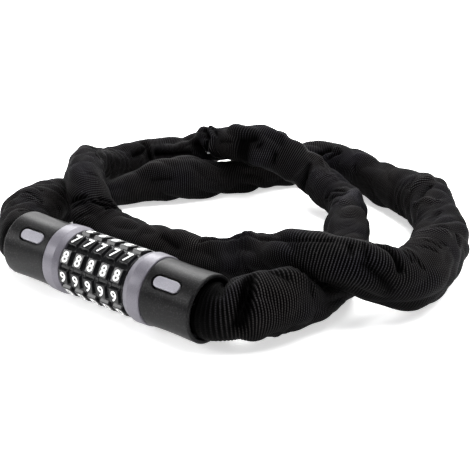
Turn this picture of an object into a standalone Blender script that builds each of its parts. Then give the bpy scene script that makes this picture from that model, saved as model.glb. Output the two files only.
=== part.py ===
"""Combination chain lock.

Five number rings turn on a slotted tube between two grey collars.  A toothed plug slides
into the tube from the left and is held there by a code ring inside each number ring.
Both ends of a steel chain in a black woven sleeve are pinned inside the two end caps, and
the chain lies piled behind the lock.

Metres, Z up, floor at Z = 0.  The lock's axis runs along X, above the origin.
The plug is in, with the gates of all five code rings in line with its teeth.
"""

import math

import bmesh
import bpy
import numpy as np
from mathutils import Matrix, Vector

for old in list(bpy.data.objects):
    bpy.data.objects.remove(old, do_unlink=True)

# Clearances
FIT = 0.0003          # between fixed neighbours
RUN = 0.0004          # between pieces that turn or slide on each other

# Number rings
DIAL_COUNT = 5
DIGITS = 10
DIAL_PITCH = 0.0085
TILE_FACE = 0.0165    # from the axis to the flat of a number tile
TILE_WIDTH = 0.0068   # round the ring
TILE_LENGTH = 0.0052  # along the axis
TILE_SLOPE = 0.0005   # chamfer at each end of a tile
GROOVE_DEPTH = 0.0014
BAND_DEPTH = 0.0019   # plain band at the right of each row of tiles
DIGIT_ANGLE = math.radians(33.0)
KEY_ANGLE = math.radians(9.0)  # a bore notch, placed so that a flat of each code ring faces down

# Plug, tube and code rings
SHANK_RADIUS = 0.0040
SHANK_END = 0.0006    # shank past the last tooth
TOOTH_WIDTH = 0.0026
TOOTH_LENGTH = 0.0030
TOOTH_RISE = 0.0011   # past the tube's outside
TUBE_WALL = 0.0020
WEB_THICKNESS = 0.0026
RING_WALL = 0.0018
KEY_WIDTH = 0.0024    # at the foot
KEY_TOP = 0.0014      # width at the top
KEY_HEIGHT = 0.0010
LEAF_WIDTH = 0.0030
LEAF_THICKNESS = 0.0004
WAVE_THICKNESS = 0.0006
WAVE_RISE = 0.0002
WAVE_WIDTH = 0.0028
CLIP_THICKNESS = 0.0007
CLIP_WIDTH = 0.0024
CLIP_SETBACK = 0.0012  # from the collar's outer face to the clip

# Collars
COLLAR_LENGTH = 0.0103
COLLAR_RADIUS = 0.0175
COLLAR_EDGE = 0.0008
COLLAR_CROWN = 0.0003
COLLAR_SLOPE = 0.0034  # length of the sloping band next to the number rings
COLLAR_DROP = 0.0006   # fall of that band

# End caps
CAP_SIDES = 40
CAP_LENGTH = 0.0291
CAP_SHOULDER = 0.0167
CAP_WAIST = 0.0163
CAP_EDGE = 0.0006
CAP_WALL = 0.0019     # behind the inlay
RIM_RADIUS = 0.0167
RIM_LAND = 0.0026
RIM_EDGE = 0.0009
RIM_FLARE = 0.0070    # length of the flare up to the rim
MOUTH_WALL = 0.0020
MOUTH_DEPTH = 0.0068
HUB_LENGTH = 0.0139

# Inlays and cap screws
INLAY_LENGTH = 0.0160
INLAY_WIDTH = 0.0060
INLAY_THICKNESS = 0.0012
INLAY_LINE = 0.0006   # dark line round an inlay
INLAY_SETBACK = 0.0123
INLAY_ANGLE = math.radians(47.0)
INLAY_PROUD = 0.0001
SCREW_RADIUS = 0.00125
SCREW_HEAD_RADIUS = 0.0021
SCREW_HEAD = 0.0011
SCREW_BITE = 0.0030   # into the boss
SCREW_INSET = 0.0038  # from the inlay's end

# Chain anchors
BOSS_RADIUS = 0.0095
BOSS_LENGTH = 0.0173
PIN_RADIUS = 0.0018
PIN_SETBACK = 0.0040  # from the boss's end
SLOT_GAP = 0.0004

# Chain and sleeve
WIRE = 0.0036
LINK_WIDTH = 0.0052   # inside
LINK_REACH = 0.0330   # between the centres of a link's two bends
END_REACH = 0.0240    # the same for the two end links
SLEEVE_WALL = 0.0007
CLAMP_WIDTH = 0.0024
CLAMP_WALL = 0.0016   # between the sleeve's end and the mouth
SLEEVE_SPLIT = 0.098  # along the sleeve, from the plug to the end of the piece that moves with it
SPLIT_MARGIN = 0.004  # tube points nearer to the split than this are left out

# Route of the sleeve from the plug's cap to the lock's cap: X, Y, Z and radius
ROUTE = (
    (-0.067, 0.001, 0.0175, 0.0130), (-0.082, 0.016, 0.0160, 0.0130),
    (-0.098, 0.040, 0.0150, 0.0135), (-0.102, 0.061, 0.0125, 0.0120),
    (-0.095, 0.084, 0.0095, 0.0090), (-0.082, 0.111, 0.0110, 0.0105),
    (-0.067, 0.131, 0.0125, 0.0120), (-0.051, 0.158, 0.0100, 0.0095),
    (-0.034, 0.189, 0.0120, 0.0115), (-0.008, 0.209, 0.0135, 0.0130),
    (0.031, 0.202, 0.0120, 0.0115), (0.067, 0.188, 0.0150, 0.0145),
    (0.088, 0.165, 0.0150, 0.0140), (0.103, 0.142, 0.0150, 0.0140),
    (0.117, 0.095, 0.0175, 0.0150), (0.115, 0.076, 0.0205, 0.0145),
    (0.105, 0.061, 0.0275, 0.0135), (0.090, 0.052, 0.0330, 0.0125),
    (0.073, 0.050, 0.0315, 0.0120), (0.045, 0.053, 0.0180, 0.0120),
    (0.019, 0.047, 0.0130, 0.0120), (0.000, 0.044, 0.0130, 0.0120),
    (-0.042, 0.039, 0.0180, 0.0115), (-0.054, 0.041, 0.0260, 0.0115),
    (-0.066, 0.048, 0.0325, 0.0110), (-0.080, 0.061, 0.0345, 0.0105),
    (-0.094, 0.077, 0.0320, 0.0100), (-0.110, 0.097, 0.0245, 0.0105),
    (-0.118, 0.124, 0.0140, 0.0115), (-0.107, 0.152, 0.0130, 0.0120),
    (-0.080, 0.161, 0.0205, 0.0110), (-0.053, 0.160, 0.0315, 0.0105),
    (-0.036, 0.158, 0.0345, 0.0115), (-0.010, 0.166, 0.0265, 0.0115),
    (0.004, 0.169, 0.0185, 0.0115), (0.017, 0.166, 0.0135, 0.0110),
    (0.031, 0.160, 0.0115, 0.0110), (0.045, 0.142, 0.0120, 0.0115),
    (0.058, 0.121, 0.0130, 0.0125), (0.071, 0.100, 0.0115, 0.0110),
    (0.084, 0.067, 0.0110, 0.0105), (0.087, 0.045, 0.0105, 0.0095),
    (0.081, 0.022, 0.0180, 0.0150), (0.067, 0.001, 0.0175, 0.0125),
)
ROUTE_STEPS = 2       # tube points for each stretch of the route

# Places along the axis, from the lock's centre
PACK_END = DIAL_COUNT * DIAL_PITCH / 2
COLLAR_START = PACK_END + FIT
COLLAR_END = COLLAR_START + COLLAR_LENGTH
CAP_START = COLLAR_END + FIT
CAP_END = CAP_START + CAP_LENGTH
HUB_END = CAP_START + HUB_LENGTH
MOUTH_FLOOR = CAP_END - MOUTH_DEPTH
BOSS_END = CAP_START + BOSS_LENGTH
PIN_PLACE = BOSS_END - PIN_SETBACK
SLEEVE_END = MOUTH_FLOOR + FIT
INLAY_PLACE = CAP_START + INLAY_SETBACK
SCREW_PLACE = INLAY_PLACE - INLAY_LENGTH / 2 + SCREW_INSET
CLIP_PLACE = COLLAR_END - CLIP_SETBACK

# Radii, from the shank outwards
TUBE_BORE = SHANK_RADIUS + RUN
TUBE_RADIUS = TUBE_BORE + TUBE_WALL
TOOTH_TIP = TUBE_RADIUS + TOOTH_RISE
WEB_BORE = TUBE_RADIUS + RUN
RING_BORE = math.hypot(TOOTH_TIP, TOOTH_WIDTH / 2) + RUN
RING_RADIUS = RING_BORE + RING_WALL
KEY_TIP = RING_RADIUS + KEY_HEIGHT
DIAL_BORE = RING_RADIUS + RUN
NOTCH_FLOOR = KEY_TIP + RUN
HUB_BORE = BOSS_RADIUS + FIT
INLAY_TOP = CAP_WAIST + INLAY_PROUD
POCKET_FLOOR = INLAY_TOP - INLAY_THICKNESS - FIT
THROAT_RADIUS = POCKET_FLOOR - CAP_WALL
MOUTH_RADIUS = RIM_RADIUS - MOUTH_WALL
SLEEVE_END_RADIUS = MOUTH_RADIUS - FIT - CLAMP_WALL - FIT
GATE_WIDTH = TOOTH_WIDTH + 2 * RUN
BEND_RADIUS = (LINK_WIDTH + WIRE) / 2
AXIS_HEIGHT = max(COLLAR_RADIUS, RIM_RADIUS) * math.cos(math.pi / CAP_SIDES)
AXIS = Vector((0.0, 0.0, AXIS_HEIGHT))


def material(name, colour, roughness, metallic=0.0):
    """Principled material with one colour."""
    made = bpy.data.materials.new(name)
    made.use_nodes = True
    shader = made.node_tree.nodes["Principled BSDF"]
    shader.inputs["Base Color"].default_value = (*colour, 1.0)
    shader.inputs["Roughness"].default_value = roughness
    shader.inputs["Metallic"].default_value = metallic
    return made


def finish(bm, name):
    """Turn a bmesh into a smooth-shaded mesh with sharp edges kept."""
    bmesh.ops.recalc_face_normals(bm, faces=bm.faces)
    mesh = bpy.data.meshes.new(name)
    bm.to_mesh(mesh)
    bm.free()
    mesh.shade_smooth()
    mesh.set_sharp_from_angle(angle=math.radians(35.0))
    return mesh


def place(name, mesh, look=None, at=(0.0, 0.0, 0.0)):
    """Put a mesh in the scene as a named object."""
    if look is not None and not mesh.materials:
        mesh.materials.append(look)
    made = bpy.data.objects.new(name, mesh)
    made.location = at
    bpy.context.scene.collection.objects.link(made)
    return made


def circle(x, radius, sides, turn=0.5):
    """Loop of points round the X axis; half a step of turn puts a flat underneath."""
    step = math.tau / sides
    return [polar(x, radius, (k + turn) * step) for k in range(sides)]


def polar(x, radius, angle):
    """Point at an angle above the horizontal, on the side towards the viewer."""
    return Vector((x, -radius * math.cos(angle), radius * math.sin(angle)))


def stack(loops, closed=False):
    """Bridge loops of equally many points; the ends are capped unless the stack closes."""
    bm = bmesh.new()
    rings = [[bm.verts.new(point) for point in loop] for loop in loops]
    pairs = list(zip(rings, rings[1:]))
    if closed:
        pairs.append((rings[-1], rings[0]))
    else:
        bm.faces.new(rings[0])
        bm.faces.new(rings[-1])
    for low, high in pairs:
        for k in range(len(low)):
            j = (k + 1) % len(low)
            bm.faces.new((low[k], low[j], high[j], high[k]))
    return bm


def turned(name, profile, sides, closed=False):
    """Turned piece from (x, radius) points; closed for a ring, capped for a bar."""
    return finish(stack([circle(x, r, sides) for x, r in profile], closed), name)


def boxes(name, spans):
    """Boxes given by their low and high corners, in one mesh."""
    bm = bmesh.new()
    for low, high in spans:
        low, high = Vector(low), Vector(high)
        made = bmesh.ops.create_cube(bm, size=1.0)
        bmesh.ops.scale(bm, vec=high - low, verts=made["verts"])
        bmesh.ops.translate(bm, vec=(low + high) / 2, verts=made["verts"])
    return finish(bm, name)


def oval(name, length, width, low, high, x, angle):
    """Straight-sided plate with round ends, lying along X and facing out at an angle."""
    half = width / 2
    run = length / 2 - half
    outline = []
    for end in (1, -1):
        for k in range(9):
            t = math.pi * (k / 8 - 0.5)
            outline.append((end * (run + half * math.cos(t)), end * half * math.sin(t)))
    out = Vector((0.0, -math.cos(angle), math.sin(angle)))
    side = Vector((0.0, math.sin(angle), math.cos(angle)))
    loops = []
    for height in (low, high):
        loops.append([Vector((x + u, 0.0, 0.0)) + side * v + out * height for u, v in outline])
    return finish(stack(loops), name)


def upright(mesh, direction, at=(0.0, 0.0, 0.0)):
    """Turn a mesh made along X so that it runs along another direction, through a point."""
    turn = Vector(direction).to_track_quat("X", "Z").to_matrix().to_4x4()
    mesh.transform(Matrix.Translation(at) @ turn)
    return mesh


def boolean(target, mesh, operation="DIFFERENCE"):
    """Cut a mesh out of an object, or join it on; the tool stays as a hidden object."""
    tool = place(f"tool_{target.name}_{len(target.modifiers)}", mesh, at=target.location)
    tool.hide_render = True
    tool.display_type = "WIRE"
    cut = target.modifiers.new(tool.name, "BOOLEAN")
    cut.operation = operation
    cut.solver = "EXACT"
    cut.object = tool


def dial_mesh():
    """Number ring: notched bore, flat tiles round the left part and a plain band at the right."""
    left = -DIAL_PITCH / 2 + FIT / 2
    right = -left
    sector = math.tau / DIGITS
    half_tile = math.atan2(TILE_WIDTH / 2, TILE_FACE)
    foot = half_tile + 0.6 * (sector / 2 - half_tile)
    corner = math.hypot(TILE_FACE, TILE_WIDTH / 2)
    half_notch = (KEY_WIDTH / 2 + RUN) / DIAL_BORE
    half_floor = (KEY_TOP / 2 + RUN) / NOTCH_FLOOR
    bore_radius = DIAL_BORE / math.cos(sector / 2 - half_notch)

    def tiles(x, drop):
        loop = []
        for k in range(DIGITS):
            middle = DIGIT_ANGLE + k * sector
            loop.append(polar(x, TILE_FACE - GROOVE_DEPTH, middle - foot))
            loop.append(polar(x, corner - drop, middle - half_tile))
            loop.append(polar(x, corner - drop, middle + half_tile))
            loop.append(polar(x, TILE_FACE - GROOVE_DEPTH, middle + foot))
        return loop

    def bore(x):
        loop = []
        for k in range(DIGITS):
            middle = KEY_ANGLE + k * sector
            loop.append(polar(x, NOTCH_FLOOR, middle + half_floor))
            loop.append(polar(x, bore_radius, middle + half_notch))
            loop.append(polar(x, bore_radius, middle + sector - half_notch))
            loop.append(polar(x, NOTCH_FLOOR, middle + sector - half_floor))
        return loop

    def band(x):
        low = TILE_FACE - BAND_DEPTH
        return [Vector((x, *(p.yz.normalized() * low))) for p in tiles(x, 0.0)]

    tile_end = left + TILE_SLOPE + TILE_LENGTH
    loops = [
        bore(left),
        tiles(left, 0.8 * TILE_SLOPE),
        tiles(left + TILE_SLOPE, 0.0),
        tiles(tile_end, 0.0),
        band(tile_end + TILE_SLOPE),
        band(right),
        bore(right),
    ]
    return finish(stack(loops, closed=True), "number_dial")


def code_ring_mesh(look):
    """Code ring: two outer keys, a ten-flat web with a gate at the left, a wide bore at the right."""
    left = -DIAL_PITCH / 2 + FIT / 2
    right = -left
    web_end = left + WEB_THICKNESS
    step = math.tau / 20
    half_key = KEY_WIDTH / 2 / RING_RADIUS
    half_top = KEY_TOP / 2 / KEY_TIP
    middle = KEY_ANGLE + 2 * math.tau / DIGITS
    flat_turn = middle - 1.5 * step

    def outside(x):
        loop = []
        for turn in (0.0, math.pi):
            base = middle + turn
            gap = (math.pi - 2 * half_key) / 7
            loop.append(polar(x, RING_RADIUS, base - half_key))
            loop.append(polar(x, KEY_TIP, base - half_top))
            loop.append(polar(x, KEY_TIP, base + half_top))
            for k in range(7):
                loop.append(polar(x, RING_RADIUS, base + half_key + k * gap))
        return loop

    def inside(x, flat, corner):
        return [polar(x, corner if k % 2 else flat, flat_turn + k * step) for k in range(20)]

    bore_corner = RING_BORE / math.cos(step / 2)
    loops = [
        outside(left),
        outside(right),
        inside(right, bore_corner, bore_corner),
        inside(web_end, bore_corner, bore_corner),
        inside(web_end, WEB_BORE, WEB_BORE / math.cos(step)),
        inside(left, WEB_BORE, WEB_BORE / math.cos(step)),
    ]
    blank = place("code_ring_blank", finish(stack(loops, closed=True), "code_ring_blank"), look)
    low = (left - FIT, -GATE_WIDTH / 2, WEB_BORE - 3 * RUN)
    high = (web_end + FIT, GATE_WIDTH / 2, RING_BORE - FIT / 3)
    boolean(blank, boxes("gate", [(low, high)]))
    graph = bpy.context.evaluated_depsgraph_get()
    mesh = bpy.data.meshes.new_from_object(blank.evaluated_get(graph))
    mesh.name = "code_ring"
    tool = blank.modifiers[0].object
    bpy.data.objects.remove(blank, do_unlink=True)
    bpy.data.objects.remove(tool, do_unlink=True)
    return mesh


def dial_place(k):
    """Centre of number ring k along the axis."""
    return (k - (DIAL_COUNT - 1) / 2) * DIAL_PITCH


def tooth_span(k):
    """Start and end along the axis of the tooth in code ring k."""
    start = dial_place(k) - DIAL_PITCH / 2 + FIT / 2 + WEB_THICKNESS
    room = DIAL_PITCH - FIT - WEB_THICKNESS
    middle = start + room / 2
    return middle - TOOTH_LENGTH / 2, middle + TOOTH_LENGTH / 2


LAST_TOOTH = tooth_span(DIAL_COUNT - 1)[1]
SHANK_TIP = LAST_TOOTH + SHANK_END
BORE_FLOOR = SHANK_TIP + RUN
TUBE_END = COLLAR_END - FIT
SLOT_FLOOR = PIN_PLACE - BEND_RADIUS - WIRE / 2 - SLOT_GAP


def cut_anchor(target, side):
    """Cut the chain's slot, the pin's hole and the cap screw's hole in a boss."""
    ends = sorted((side * SLOT_FLOOR, side * (BOSS_END + FIT)))
    wide = BOSS_RADIUS + FIT
    high = WIRE / 2 + SLOT_GAP
    boolean(target, boxes("slot", [((ends[0], -wide, -high), (ends[1], wide, high))]))
    hole = turned("pin_hole", [(-wide, PIN_RADIUS + FIT), (wide, PIN_RADIUS + FIT)], 16)
    boolean(target, upright(hole, (0, 0, 1), (side * PIN_PLACE, 0.0, 0.0)))
    foot = BOSS_RADIUS - SCREW_BITE - FIT
    hole = turned("screw_hole", [(foot, SCREW_RADIUS + FIT), (BOSS_RADIUS + FIT, SCREW_RADIUS + FIT)], 12)
    boolean(target, upright(hole, polar(0.0, 1.0, INLAY_ANGLE), (side * SCREW_PLACE, 0.0, 0.0)))


def collar_profile(side, bore, pocket_x, pocket_radius):
    """Collar section with a pocket from one face: outside first, then back through the bore."""
    start, end = COLLAR_START, COLLAR_END
    low = COLLAR_RADIUS - COLLAR_DROP
    edge = COLLAR_RADIUS - COLLAR_CROWN
    outer = [
        (start, low - COLLAR_EDGE),
        (start + 0.3 * COLLAR_EDGE, low - 0.3 * COLLAR_EDGE),
        (start + COLLAR_EDGE, low),
        (start + COLLAR_SLOPE, COLLAR_RADIUS),
        (end - 0.35 * COLLAR_LENGTH, COLLAR_RADIUS),
        (end - COLLAR_EDGE, edge),
        (end - 0.3 * COLLAR_EDGE, edge - 0.3 * COLLAR_EDGE),
        (end, edge - COLLAR_EDGE),
    ]
    if pocket_x > (start + end) / 2:
        inner = [(end, pocket_radius), (pocket_x, pocket_radius), (pocket_x, bore), (start, bore)]
    else:
        inner = [(end, bore), (pocket_x, bore), (pocket_x, pocket_radius), (start, pocket_radius)]
    return [(side * x, r) for x, r in outer + inner]


def cap_profile(side):
    """Cap section: outside from the collar to the rim, then back through mouth, throat and hub."""
    land_end = CAP_END - RIM_EDGE
    land = land_end - RIM_LAND
    flare = land - RIM_FLARE
    shoulder = CAP_START + CAP_EDGE
    waist = (shoulder + flare) / 2
    drop = RIM_RADIUS - CAP_WAIST
    outer = [
        (CAP_START, CAP_SHOULDER - CAP_EDGE),
        (shoulder, CAP_SHOULDER),
        ((shoulder + waist) / 2, (CAP_SHOULDER + 2 * CAP_WAIST) / 3),
        (waist, CAP_WAIST),
        (flare, CAP_WAIST + 0.12 * drop),
        (flare + RIM_FLARE * 0.4, CAP_WAIST + 0.36 * drop),
        (flare + RIM_FLARE * 0.75, CAP_WAIST + 0.70 * drop),
        (land, RIM_RADIUS),
        (land_end, RIM_RADIUS),
        (CAP_END, RIM_RADIUS - RIM_EDGE),
    ]
    inner = [
        (CAP_END, MOUTH_RADIUS + 0.6 * RIM_EDGE),
        (CAP_END - RIM_EDGE, MOUTH_RADIUS),
        (MOUTH_FLOOR, MOUTH_RADIUS),
        (MOUTH_FLOOR, THROAT_RADIUS),
        (HUB_END, THROAT_RADIUS),
        (HUB_END, HUB_BORE),
        (CAP_START, HUB_BORE),
    ]
    return [(side * x, r) for x, r in outer + inner]


def build_cap(name, side, look):
    """End cap with the pocket for its inlay and the stepped hole for its screw."""
    made = place(name, turned(name, cap_profile(side), CAP_SIDES, closed=True), look, AXIS)
    pocket = oval("pocket", INLAY_LENGTH + 2 * INLAY_LINE, INLAY_WIDTH + 2 * INLAY_LINE,
                  POCKET_FLOOR, RIM_RADIUS + FIT, side * INLAY_PLACE, INLAY_ANGLE)
    boolean(made, pocket)
    seat = POCKET_FLOOR - FIT - SCREW_HEAD - FIT
    steps = [
        (HUB_BORE - 2 * FIT, SCREW_RADIUS + FIT),
        (seat, SCREW_RADIUS + FIT),
        (seat, SCREW_HEAD_RADIUS + FIT),
        (POCKET_FLOOR + FIT, SCREW_HEAD_RADIUS + FIT),
    ]
    hole = turned("head_hole", steps, 12)
    boolean(made, upright(hole, polar(0.0, 1.0, INLAY_ANGLE), (side * SCREW_PLACE, 0.0, 0.0)))
    return made


def build_screw(name, side, look):
    """Cap screw: shank into the boss and a flat head under the inlay."""
    head = POCKET_FLOOR - FIT - SCREW_HEAD
    steps = [
        (BOSS_RADIUS - SCREW_BITE, SCREW_RADIUS),
        (head, SCREW_RADIUS),
        (head, SCREW_HEAD_RADIUS),
        (head + SCREW_HEAD, SCREW_HEAD_RADIUS),
    ]
    mesh = upright(turned(name, steps, 12), polar(0.0, 1.0, INLAY_ANGLE), (side * SCREW_PLACE, 0.0, 0.0))
    return place(name, mesh, look, AXIS)


def build_inlay(name, side, look):
    """Oval plate in the cap's pocket."""
    mesh = oval(name, INLAY_LENGTH, INLAY_WIDTH, INLAY_TOP - INLAY_THICKNESS, INLAY_TOP,
                side * INLAY_PLACE, INLAY_ANGLE)
    return place(name, mesh, look, AXIS)


def build_pin(name, side, look):
    """Upright pin through the boss, which the chain's end link turns on."""
    half = BOSS_RADIUS - FIT
    mesh = turned(name, [(-half, PIN_RADIUS), (half, PIN_RADIUS)], 16)
    return place(name, upright(mesh, (0, 0, 1)), look, AXIS + Vector((side * PIN_PLACE, 0.0, 0.0)))


def build_clamp(name, side, look):
    """Band round the end of the sleeve, against the floor of the cap's mouth."""
    inner = (SLEEVE_END_RADIUS + FIT) / math.cos(math.pi / CAP_SIDES)
    outer = MOUTH_RADIUS - FIT
    start = MOUTH_FLOOR + FIT
    section = [(start, outer), (start + CLAMP_WIDTH, outer), (start + CLAMP_WIDTH, inner), (start, inner)]
    mesh = turned(name, [(side * x, r) for x, r in section], CAP_SIDES, closed=True)
    return place(name, mesh, look, AXIS)


BLACK = (0.012, 0.012, 0.013)
GREY = (0.30, 0.29, 0.32)
STEEL = (0.45, 0.45, 0.46)

# Body: the slotted tube with its boss, the collars and what holds them
tube_profile = [
    (BORE_FLOOR, TUBE_BORE),
    (-TUBE_END, TUBE_BORE),
    (-TUBE_END, TUBE_RADIUS),
    (-CLIP_PLACE - CLIP_THICKNESS / 2 - FIT, TUBE_RADIUS),
    (-CLIP_PLACE - CLIP_THICKNESS / 2 - FIT, TUBE_RADIUS - TUBE_WALL / 2),
    (-CLIP_PLACE + CLIP_THICKNESS / 2 + FIT, TUBE_RADIUS - TUBE_WALL / 2),
    (-CLIP_PLACE + CLIP_THICKNESS / 2 + FIT, TUBE_RADIUS),
    (CAP_START, TUBE_RADIUS),
    (CAP_START, BOSS_RADIUS),
    (BOSS_END, BOSS_RADIUS),
]
lock_tube = place("lock_tube", turned("lock_tube", tube_profile, 24),
                  material("lock_tube", STEEL, 0.35, 1.0), AXIS)
slot_low = (-TUBE_END - FIT, -GATE_WIDTH / 2, TUBE_BORE / 2)
slot_high = (LAST_TOOTH + RUN, GATE_WIDTH / 2, TUBE_RADIUS + FIT)
boolean(lock_tube, boxes("tooth_slot", [(slot_low, slot_high)]))
leaf_run = PACK_END - FIT
leaf_floor = TUBE_RADIUS - LEAF_THICKNESS - 2 * FIT
groove_low = (-leaf_run - FIT, -LEAF_WIDTH / 2 - FIT, -TUBE_RADIUS - FIT)
groove_high = (leaf_run + FIT, LEAF_WIDTH / 2 + FIT, -leaf_floor)
boolean(lock_tube, boxes("leaf_groove", [(groove_low, groove_high)]))
cut_anchor(lock_tube, 1)

leaf_low = (-leaf_run, -LEAF_WIDTH / 2, -leaf_floor - FIT - LEAF_THICKNESS)
leaf_high = (leaf_run, LEAF_WIDTH / 2, -leaf_floor - FIT)
place("detent_leaf", boxes("detent_leaf", [(leaf_low, leaf_high)]),
      material("detent_leaf", STEEL, 0.3, 1.0), AXIS)

collar_bore = (TUBE_RADIUS + FIT) / math.cos(math.pi / CAP_SIDES)
wave_outer = collar_bore + FIT + WAVE_WIDTH
wave_pocket = COLLAR_START + WAVE_THICKNESS + 2 * WAVE_RISE + 2 * FIT
body_collar_profile = collar_profile(1, collar_bore, wave_pocket, (wave_outer + FIT) / 0.99)
place("body_collar", turned("body_collar", body_collar_profile, CAP_SIDES, closed=True),
      material("body_collar", GREY, 0.42), AXIS)

clip_inner = TUBE_RADIUS - TUBE_WALL / 2 + FIT
clip_outer = clip_inner + CLIP_WIDTH
clip_pocket = CLIP_PLACE - CLIP_THICKNESS / 2 - FIT
entry_profile = collar_profile(-1, collar_bore, clip_pocket, (clip_outer + FIT) / 0.99)
entry_collar = place("entry_collar", turned("entry_collar", entry_profile, CAP_SIDES, closed=True),
                     material("entry_collar", GREY, 0.42), AXIS)
key_low = (-COLLAR_END - FIT, -GATE_WIDTH / 2, 0.5 * TUBE_RADIUS)
key_high = (-COLLAR_START + FIT, GATE_WIDTH / 2, TOOTH_TIP + RUN)
boolean(entry_collar, boxes("keyway", [(key_low, key_high)]))

clip_section = [
    (-CLIP_PLACE - CLIP_THICKNESS / 2, clip_inner),
    (-CLIP_PLACE - CLIP_THICKNESS / 2, clip_outer),
    (-CLIP_PLACE + CLIP_THICKNESS / 2, clip_outer),
    (-CLIP_PLACE + CLIP_THICKNESS / 2, clip_inner),
]
retaining_clip = place("retaining_clip", turned("retaining_clip", clip_section, 24, closed=True),
                       material("retaining_clip", STEEL, 0.3, 1.0), AXIS)
gap_low = (-CLIP_PLACE - CLIP_THICKNESS, -GATE_WIDTH / 2, 0.0)
gap_high = (-CLIP_PLACE + CLIP_THICKNESS, GATE_WIDTH / 2, clip_outer + FIT)
boolean(retaining_clip, boxes("clip_gap", [(gap_low, gap_high)]))

wave_loops = []
wave_middle = COLLAR_START + FIT + WAVE_RISE + WAVE_THICKNESS / 2
wave_inner = collar_bore + FIT
for offset, radius in ((-0.5, wave_inner), (-0.5, wave_outer), (0.5, wave_outer), (0.5, wave_inner)):
    ring = circle(wave_middle + offset * WAVE_THICKNESS, radius, 24)
    for k, point in enumerate(ring):
        point.x += WAVE_RISE * math.sin(3 * k * math.tau / 24)
    wave_loops.append(ring)
place("wave_washer", finish(stack(wave_loops, closed=True), "wave_washer"),
      material("wave_washer", STEEL, 0.3, 1.0), AXIS)

build_cap("body_cap", 1, material("body_cap", BLACK, 0.45))
build_inlay("body_inlay", 1, material("body_inlay", GREY, 0.4))
build_screw("body_cap_screw", 1, material("body_cap_screw", STEEL, 0.3, 1.0))
build_pin("body_anchor_pin", 1, material("body_anchor_pin", STEEL, 0.3, 1.0))
build_clamp("body_sleeve_clamp", 1, material("body_sleeve_clamp", STEEL, 0.4, 1.0))

# Number rings, each with its code ring, on their common axis
shared_dial = dial_mesh()
shared_dial.materials.append(material("number_dial", BLACK, 0.15))
shared_ring = code_ring_mesh(material("code_ring", (0.70, 0.52, 0.22), 0.35, 1.0))
for k in range(DIAL_COUNT):
    middle = AXIS + Vector((dial_place(k), 0.0, 0.0))
    place(f"number_dial_{k + 1}", shared_dial, at=middle)
    place(f"code_ring_{k + 1}", shared_ring, at=middle)

# Plug: the toothed shank with its boss, and its cap
shank_profile = [
    (SHANK_TIP, SHANK_RADIUS - SHANK_END / 2),
    (SHANK_TIP - SHANK_END / 2, SHANK_RADIUS),
    (-CAP_START, SHANK_RADIUS),
    (-CAP_START, BOSS_RADIUS),
    (-BOSS_END, BOSS_RADIUS),
]
plug_shank = place("plug_shank", turned("plug_shank", shank_profile, 24),
                   material("plug_shank", STEEL, 0.3, 1.0), AXIS)
teeth = []
for k in range(DIAL_COUNT):
    start, end = tooth_span(k)
    low = (start, -TOOTH_WIDTH / 2, SHANK_RADIUS / 2)
    teeth.append((low, (end, TOOTH_WIDTH / 2, TOOTH_TIP)))
boolean(plug_shank, boxes("teeth", teeth), "UNION")
cut_anchor(plug_shank, -1)
build_cap("plug_cap", -1, material("plug_cap", BLACK, 0.45))
build_inlay("plug_inlay", -1, material("plug_inlay", GREY, 0.4))
build_screw("plug_cap_screw", -1, material("plug_cap_screw", STEEL, 0.3, 1.0))
build_pin("plug_anchor_pin", -1, material("plug_anchor_pin", STEEL, 0.3, 1.0))
build_clamp("plug_sleeve_clamp", -1, material("plug_sleeve_clamp", STEEL, 0.4, 1.0))


def spline(points):
    """Natural cubic spline through points; gives a function of the knot number."""
    steps = np.linalg.norm(np.diff(points[:, :3], axis=0), axis=1) ** 0.5
    count = len(points)
    rows = np.eye(count)
    right = np.zeros_like(points)
    for k in range(1, count - 1):
        rows[k, k - 1:k + 2] = (steps[k - 1], 2 * (steps[k - 1] + steps[k]), steps[k])
        slope = (points[k + 1] - points[k]) / steps[k] - (points[k] - points[k - 1]) / steps[k - 1]
        right[k] = 6 * slope
    bends = np.linalg.solve(rows, right)

    def value(number):
        k = min(int(number), count - 2)
        a = (k + 1 - number) if number < count - 1 else 0.0
        b = 1.0 - a
        h = steps[k]
        curve = ((a ** 3 - a) * bends[k] + (b ** 3 - b) * bends[k + 1]) * h * h / 6
        return a * points[k] + b * points[k + 1] + curve

    return value


def lengths(points):
    """Distance along a run of points."""
    steps = np.linalg.norm(np.diff(points[:, :3], axis=0), axis=1)
    return np.concatenate(([0.0], np.cumsum(steps)))


def at_length(points, distance):
    """Point and radius at a distance along a run of points."""
    along = lengths(points)
    return np.array([np.interp(distance, along, points[:, k]) for k in range(points.shape[1])])


plug_end = (-SLEEVE_END, 0.0, AXIS_HEIGHT, SLEEVE_END_RADIUS)
body_end = (SLEEVE_END, 0.0, AXIS_HEIGHT, SLEEVE_END_RADIUS)
route = np.array((plug_end, *ROUTE, body_end))
along_route = spline(route)
fine = np.array([along_route(t) for t in np.linspace(0, len(route) - 1, 20 * (len(route) - 1) + 1)])


def build_sleeve(name, points, look):
    """Hollow woven sleeve: a tube of changing width along the points."""
    curve = bpy.data.curves.new(name, "CURVE")
    curve.dimensions = "3D"
    curve.bevel_depth = 1.0
    curve.bevel_resolution = 4
    curve.twist_mode = "Z_UP"
    run = curve.splines.new("POLY")
    run.points.add(len(points) - 1)
    for point, (x, y, z, radius) in zip(run.points, points):
        point.co = (x, y, z, 1.0)
        point.radius = radius
    curve.materials.append(look)
    made = bpy.data.objects.new(name, curve)
    bpy.context.scene.collection.objects.link(made)
    wall = made.modifiers.new("wall", "SOLIDIFY")
    wall.thickness = SLEEVE_WALL
    wall.offset = -1.0
    return made


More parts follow.
